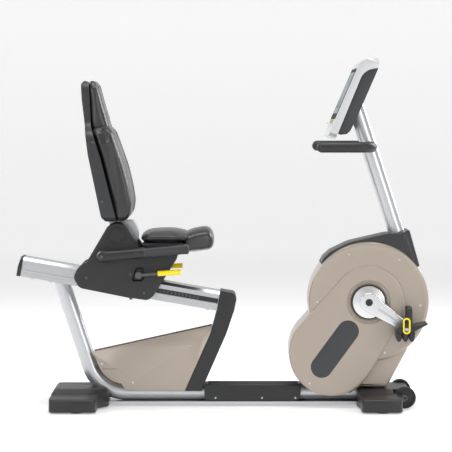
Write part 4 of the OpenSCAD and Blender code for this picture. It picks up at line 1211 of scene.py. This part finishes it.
def screenPlate(name, across0, across1, up0, up1, lift, thick, material, radius=3):
    loop = roundPoly([(across0, up0, radius), (across1, up0, radius), (across1, up1, radius),
                      (across0, up1, radius)], 5)
    mesh = bmesh.new()
    rings = [[mesh.verts.new(onScreen(p.x, p.y, h)) for p in insetLoop(loop, inset)]
             for inset, h in ((0, lift), (0, lift + thick * 0.7), (thick * 0.3, lift + thick))]
    return settle(name, skin(mesh, rings), material, "frame", 40)


glow = finish("displayGlow", (0.03, 0.09, 0.10), 0.3, shade=0.05, depth=0.0)
glowShader = glow.node_tree.nodes["Principled BSDF"]
glowShader.inputs["Emission Color"].default_value = (0.12, 0.55, 0.6, 1)
glowShader.inputs["Emission Strength"].default_value = 0.06
# Plates, back to front: name, half width, bottom, top, lift, thickness, finish, slot, corner
for name, half, low, high, lift, thick, material, slotName, corner in (
        ("screen_fascia", 186, -112, 104, 0.0, 0.9, faceBlack, "black_mould", 14),
        ("screen_frame", 166, -98, 98, 0.8, 0.7, faceBlack, "black_mould", 6),
        ("screen_glass", 156, -88, 88, 1.4, 0.5, darkScreen, "screen", 4)):
    screenPlate(name, -half, half, low, high, lift, thick, material, corner)
for i in range(display["bars"]):
    rise = 0.5 - 0.5 * math.cos(2 * math.pi * (i + 0.5) / display["bars"])
    tall = display["barLeast"] + display["barGrowth"] * rise
    across = (i - (display["bars"] - 1) / 2) * display["barStep"]
    screenPlate("display_bar_%02d" % (i + 1), across - 8, across + 8, -66, -66 + tall, 1.8, 0.3, glow,
                1)
for i, across in enumerate((-104, 0, 104)):
    screenPlate("display_tile_%d" % (i + 1), across - 44, across + 44, 34, 72, 1.8, 0.3, glow, 3)
softened("key_start", yellowPlastic, "key_start", width=1.5)
softened("key_up", greyMould, "key_up", width=1.5)
softened("key_down", greyMould, "key_down", width=1.5)
print("console made")


# Finishes for the pieces kept from the frame
slotFinish = {"silver_paint": silverPaint, "aluminium": railAluminium, "steel": satinSteel,
              "frame_steel": frameSteel, "black_mould": blackMould, "champagne": champagnePaint,
              "grey_mould": greyMould, "badge": badgeGrey, "rubber": gripRubber, "seat_vinyl": seatHide,
              "yellow": yellowPlastic, "screen": darkScreen, "crank_metal": crankMetal,
              "bezel_silver": bezelSilver, "white_nylon": nylonWhite}
slotOf = {part["node"]: part["material_slot"] for part in frame["record"]["subparts"]}
for node, piece in frame["nodes"].items():
    for place in piece.material_slots:
        place.material = slotFinish[slotOf[node]]
for node in ("transport_wheel_right", "transport_wheel_left"):
    for place in frame["nodes"][node].material_slots:
        place.material = tyreRubber


# Studio
studio = {"wall": (0.80, 0.80, 0.80), "floorHeight": 0.0, "cameraAt": (0.015, -9.0, 1.155),
          "lookAt": (0.015, 0, 0.7135), "lens": 180.5, "airGlow": 0.50, "paperGlow": 0.33,
          "floorReach": 10.5, "curve": 2.0,
          "wallTop": 3.6, "sides": 96, "curveSteps": 12,
          "lights": [("overhead", (0.2, -0.6, 4.2), (3.0, 2.0), 78),
                     ("frontLeft", (-3.6, -4.6, 2.6), (1.4, 2.6), 50),
                     ("frontRight", (3.8, -4.4, 2.2), (1.4, 2.6), 58),
                     ("rimRight", (3.2, 2.2, 2.6), (1.2, 2.4), 85),
                     ("rimLeft", (-3.2, 2.2, 2.6), (1.2, 2.4), 60)]}


def makeBackdrop():
    mesh = bmesh.new()
    curve = studio["curve"]
    reach = studio["floorReach"]
    sides, steps = studio["sides"], studio["curveSteps"]
    turns = [math.pi / 2 * k / steps for k in range(1, steps + 1)]
    profile = [(reach, 0)] + [(reach + curve * math.sin(t), curve - curve * math.cos(t)) for t in turns]
    profile.append((reach + curve, studio["wallTop"]))
    rows = [[mesh.verts.new((away * math.cos(t), away * math.sin(t), z + studio["floorHeight"]))
             for t in (2 * math.pi * k / sides for k in range(sides))] for away, z in profile]
    mesh.faces.new(rows[0])
    for first, second in zip(rows, rows[1:]):
        for k in range(sides):
            mesh.faces.new((second[k - 1], second[k], first[k], first[k - 1]))
    data = bpy.data.meshes.new("backdrop")
    mesh.to_mesh(data)
    mesh.free()
    for face in data.polygons:
        face.use_smooth = True
    paper = bpy.data.materials.new("studioPaper")
    paper.use_nodes = True
    paperShader = paper.node_tree.nodes["Principled BSDF"]
    paperShader.inputs["Base Color"].default_value = (*studio["wall"], 1)
    paperShader.inputs["Roughness"].default_value = 0.9
    paperShader.inputs["Emission Color"].default_value = (1, 1, 1, 1)
    paperShader.inputs["Emission Strength"].default_value = studio["paperGlow"]
    data.materials.append(paper)
    backdrop = bpy.data.objects.new("backdrop", data)
    bpy.context.scene.collection.objects.link(backdrop)


def makeLight(name, at, size, power, target=(0, 0, 0.6)):
    lamp = bpy.data.lights.new(name, "AREA")
    lamp.shape = "RECTANGLE"
    lamp.size, lamp.size_y = size
    lamp.energy = power
    lantern = bpy.data.objects.new(name, lamp)
    lantern.location = at
    lantern.rotation_euler = (Vector(target) - Vector(at)).to_track_quat("-Z", "Y").to_euler()
    bpy.context.scene.collection.objects.link(lantern)


def makeCamera():
    lens = bpy.data.cameras.new("camera")
    lens.lens = studio["lens"]
    lens.sensor_width = 36
    camera = bpy.data.objects.new("camera", lens)
    camera.location = studio["cameraAt"]
    aim = Vector(studio["lookAt"]) - camera.location
    camera.rotation_euler = aim.to_track_quat("-Z", "Y").to_euler()
    bpy.context.scene.collection.objects.link(camera)
    bpy.context.scene.camera = camera


makeBackdrop()
for name, at, size, power in studio["lights"]:
    makeLight(name, at, size, power)
makeCamera()
world = bpy.data.worlds.new("studioAir")
world.use_nodes = True
world.node_tree.nodes["Background"].inputs["Color"].default_value = (1, 1, 1, 1)
world.node_tree.nodes["Background"].inputs["Strength"].default_value = studio["airGlow"]
bpy.context.scene.world = world
bpy.context.scene.view_settings.view_transform = "Standard"
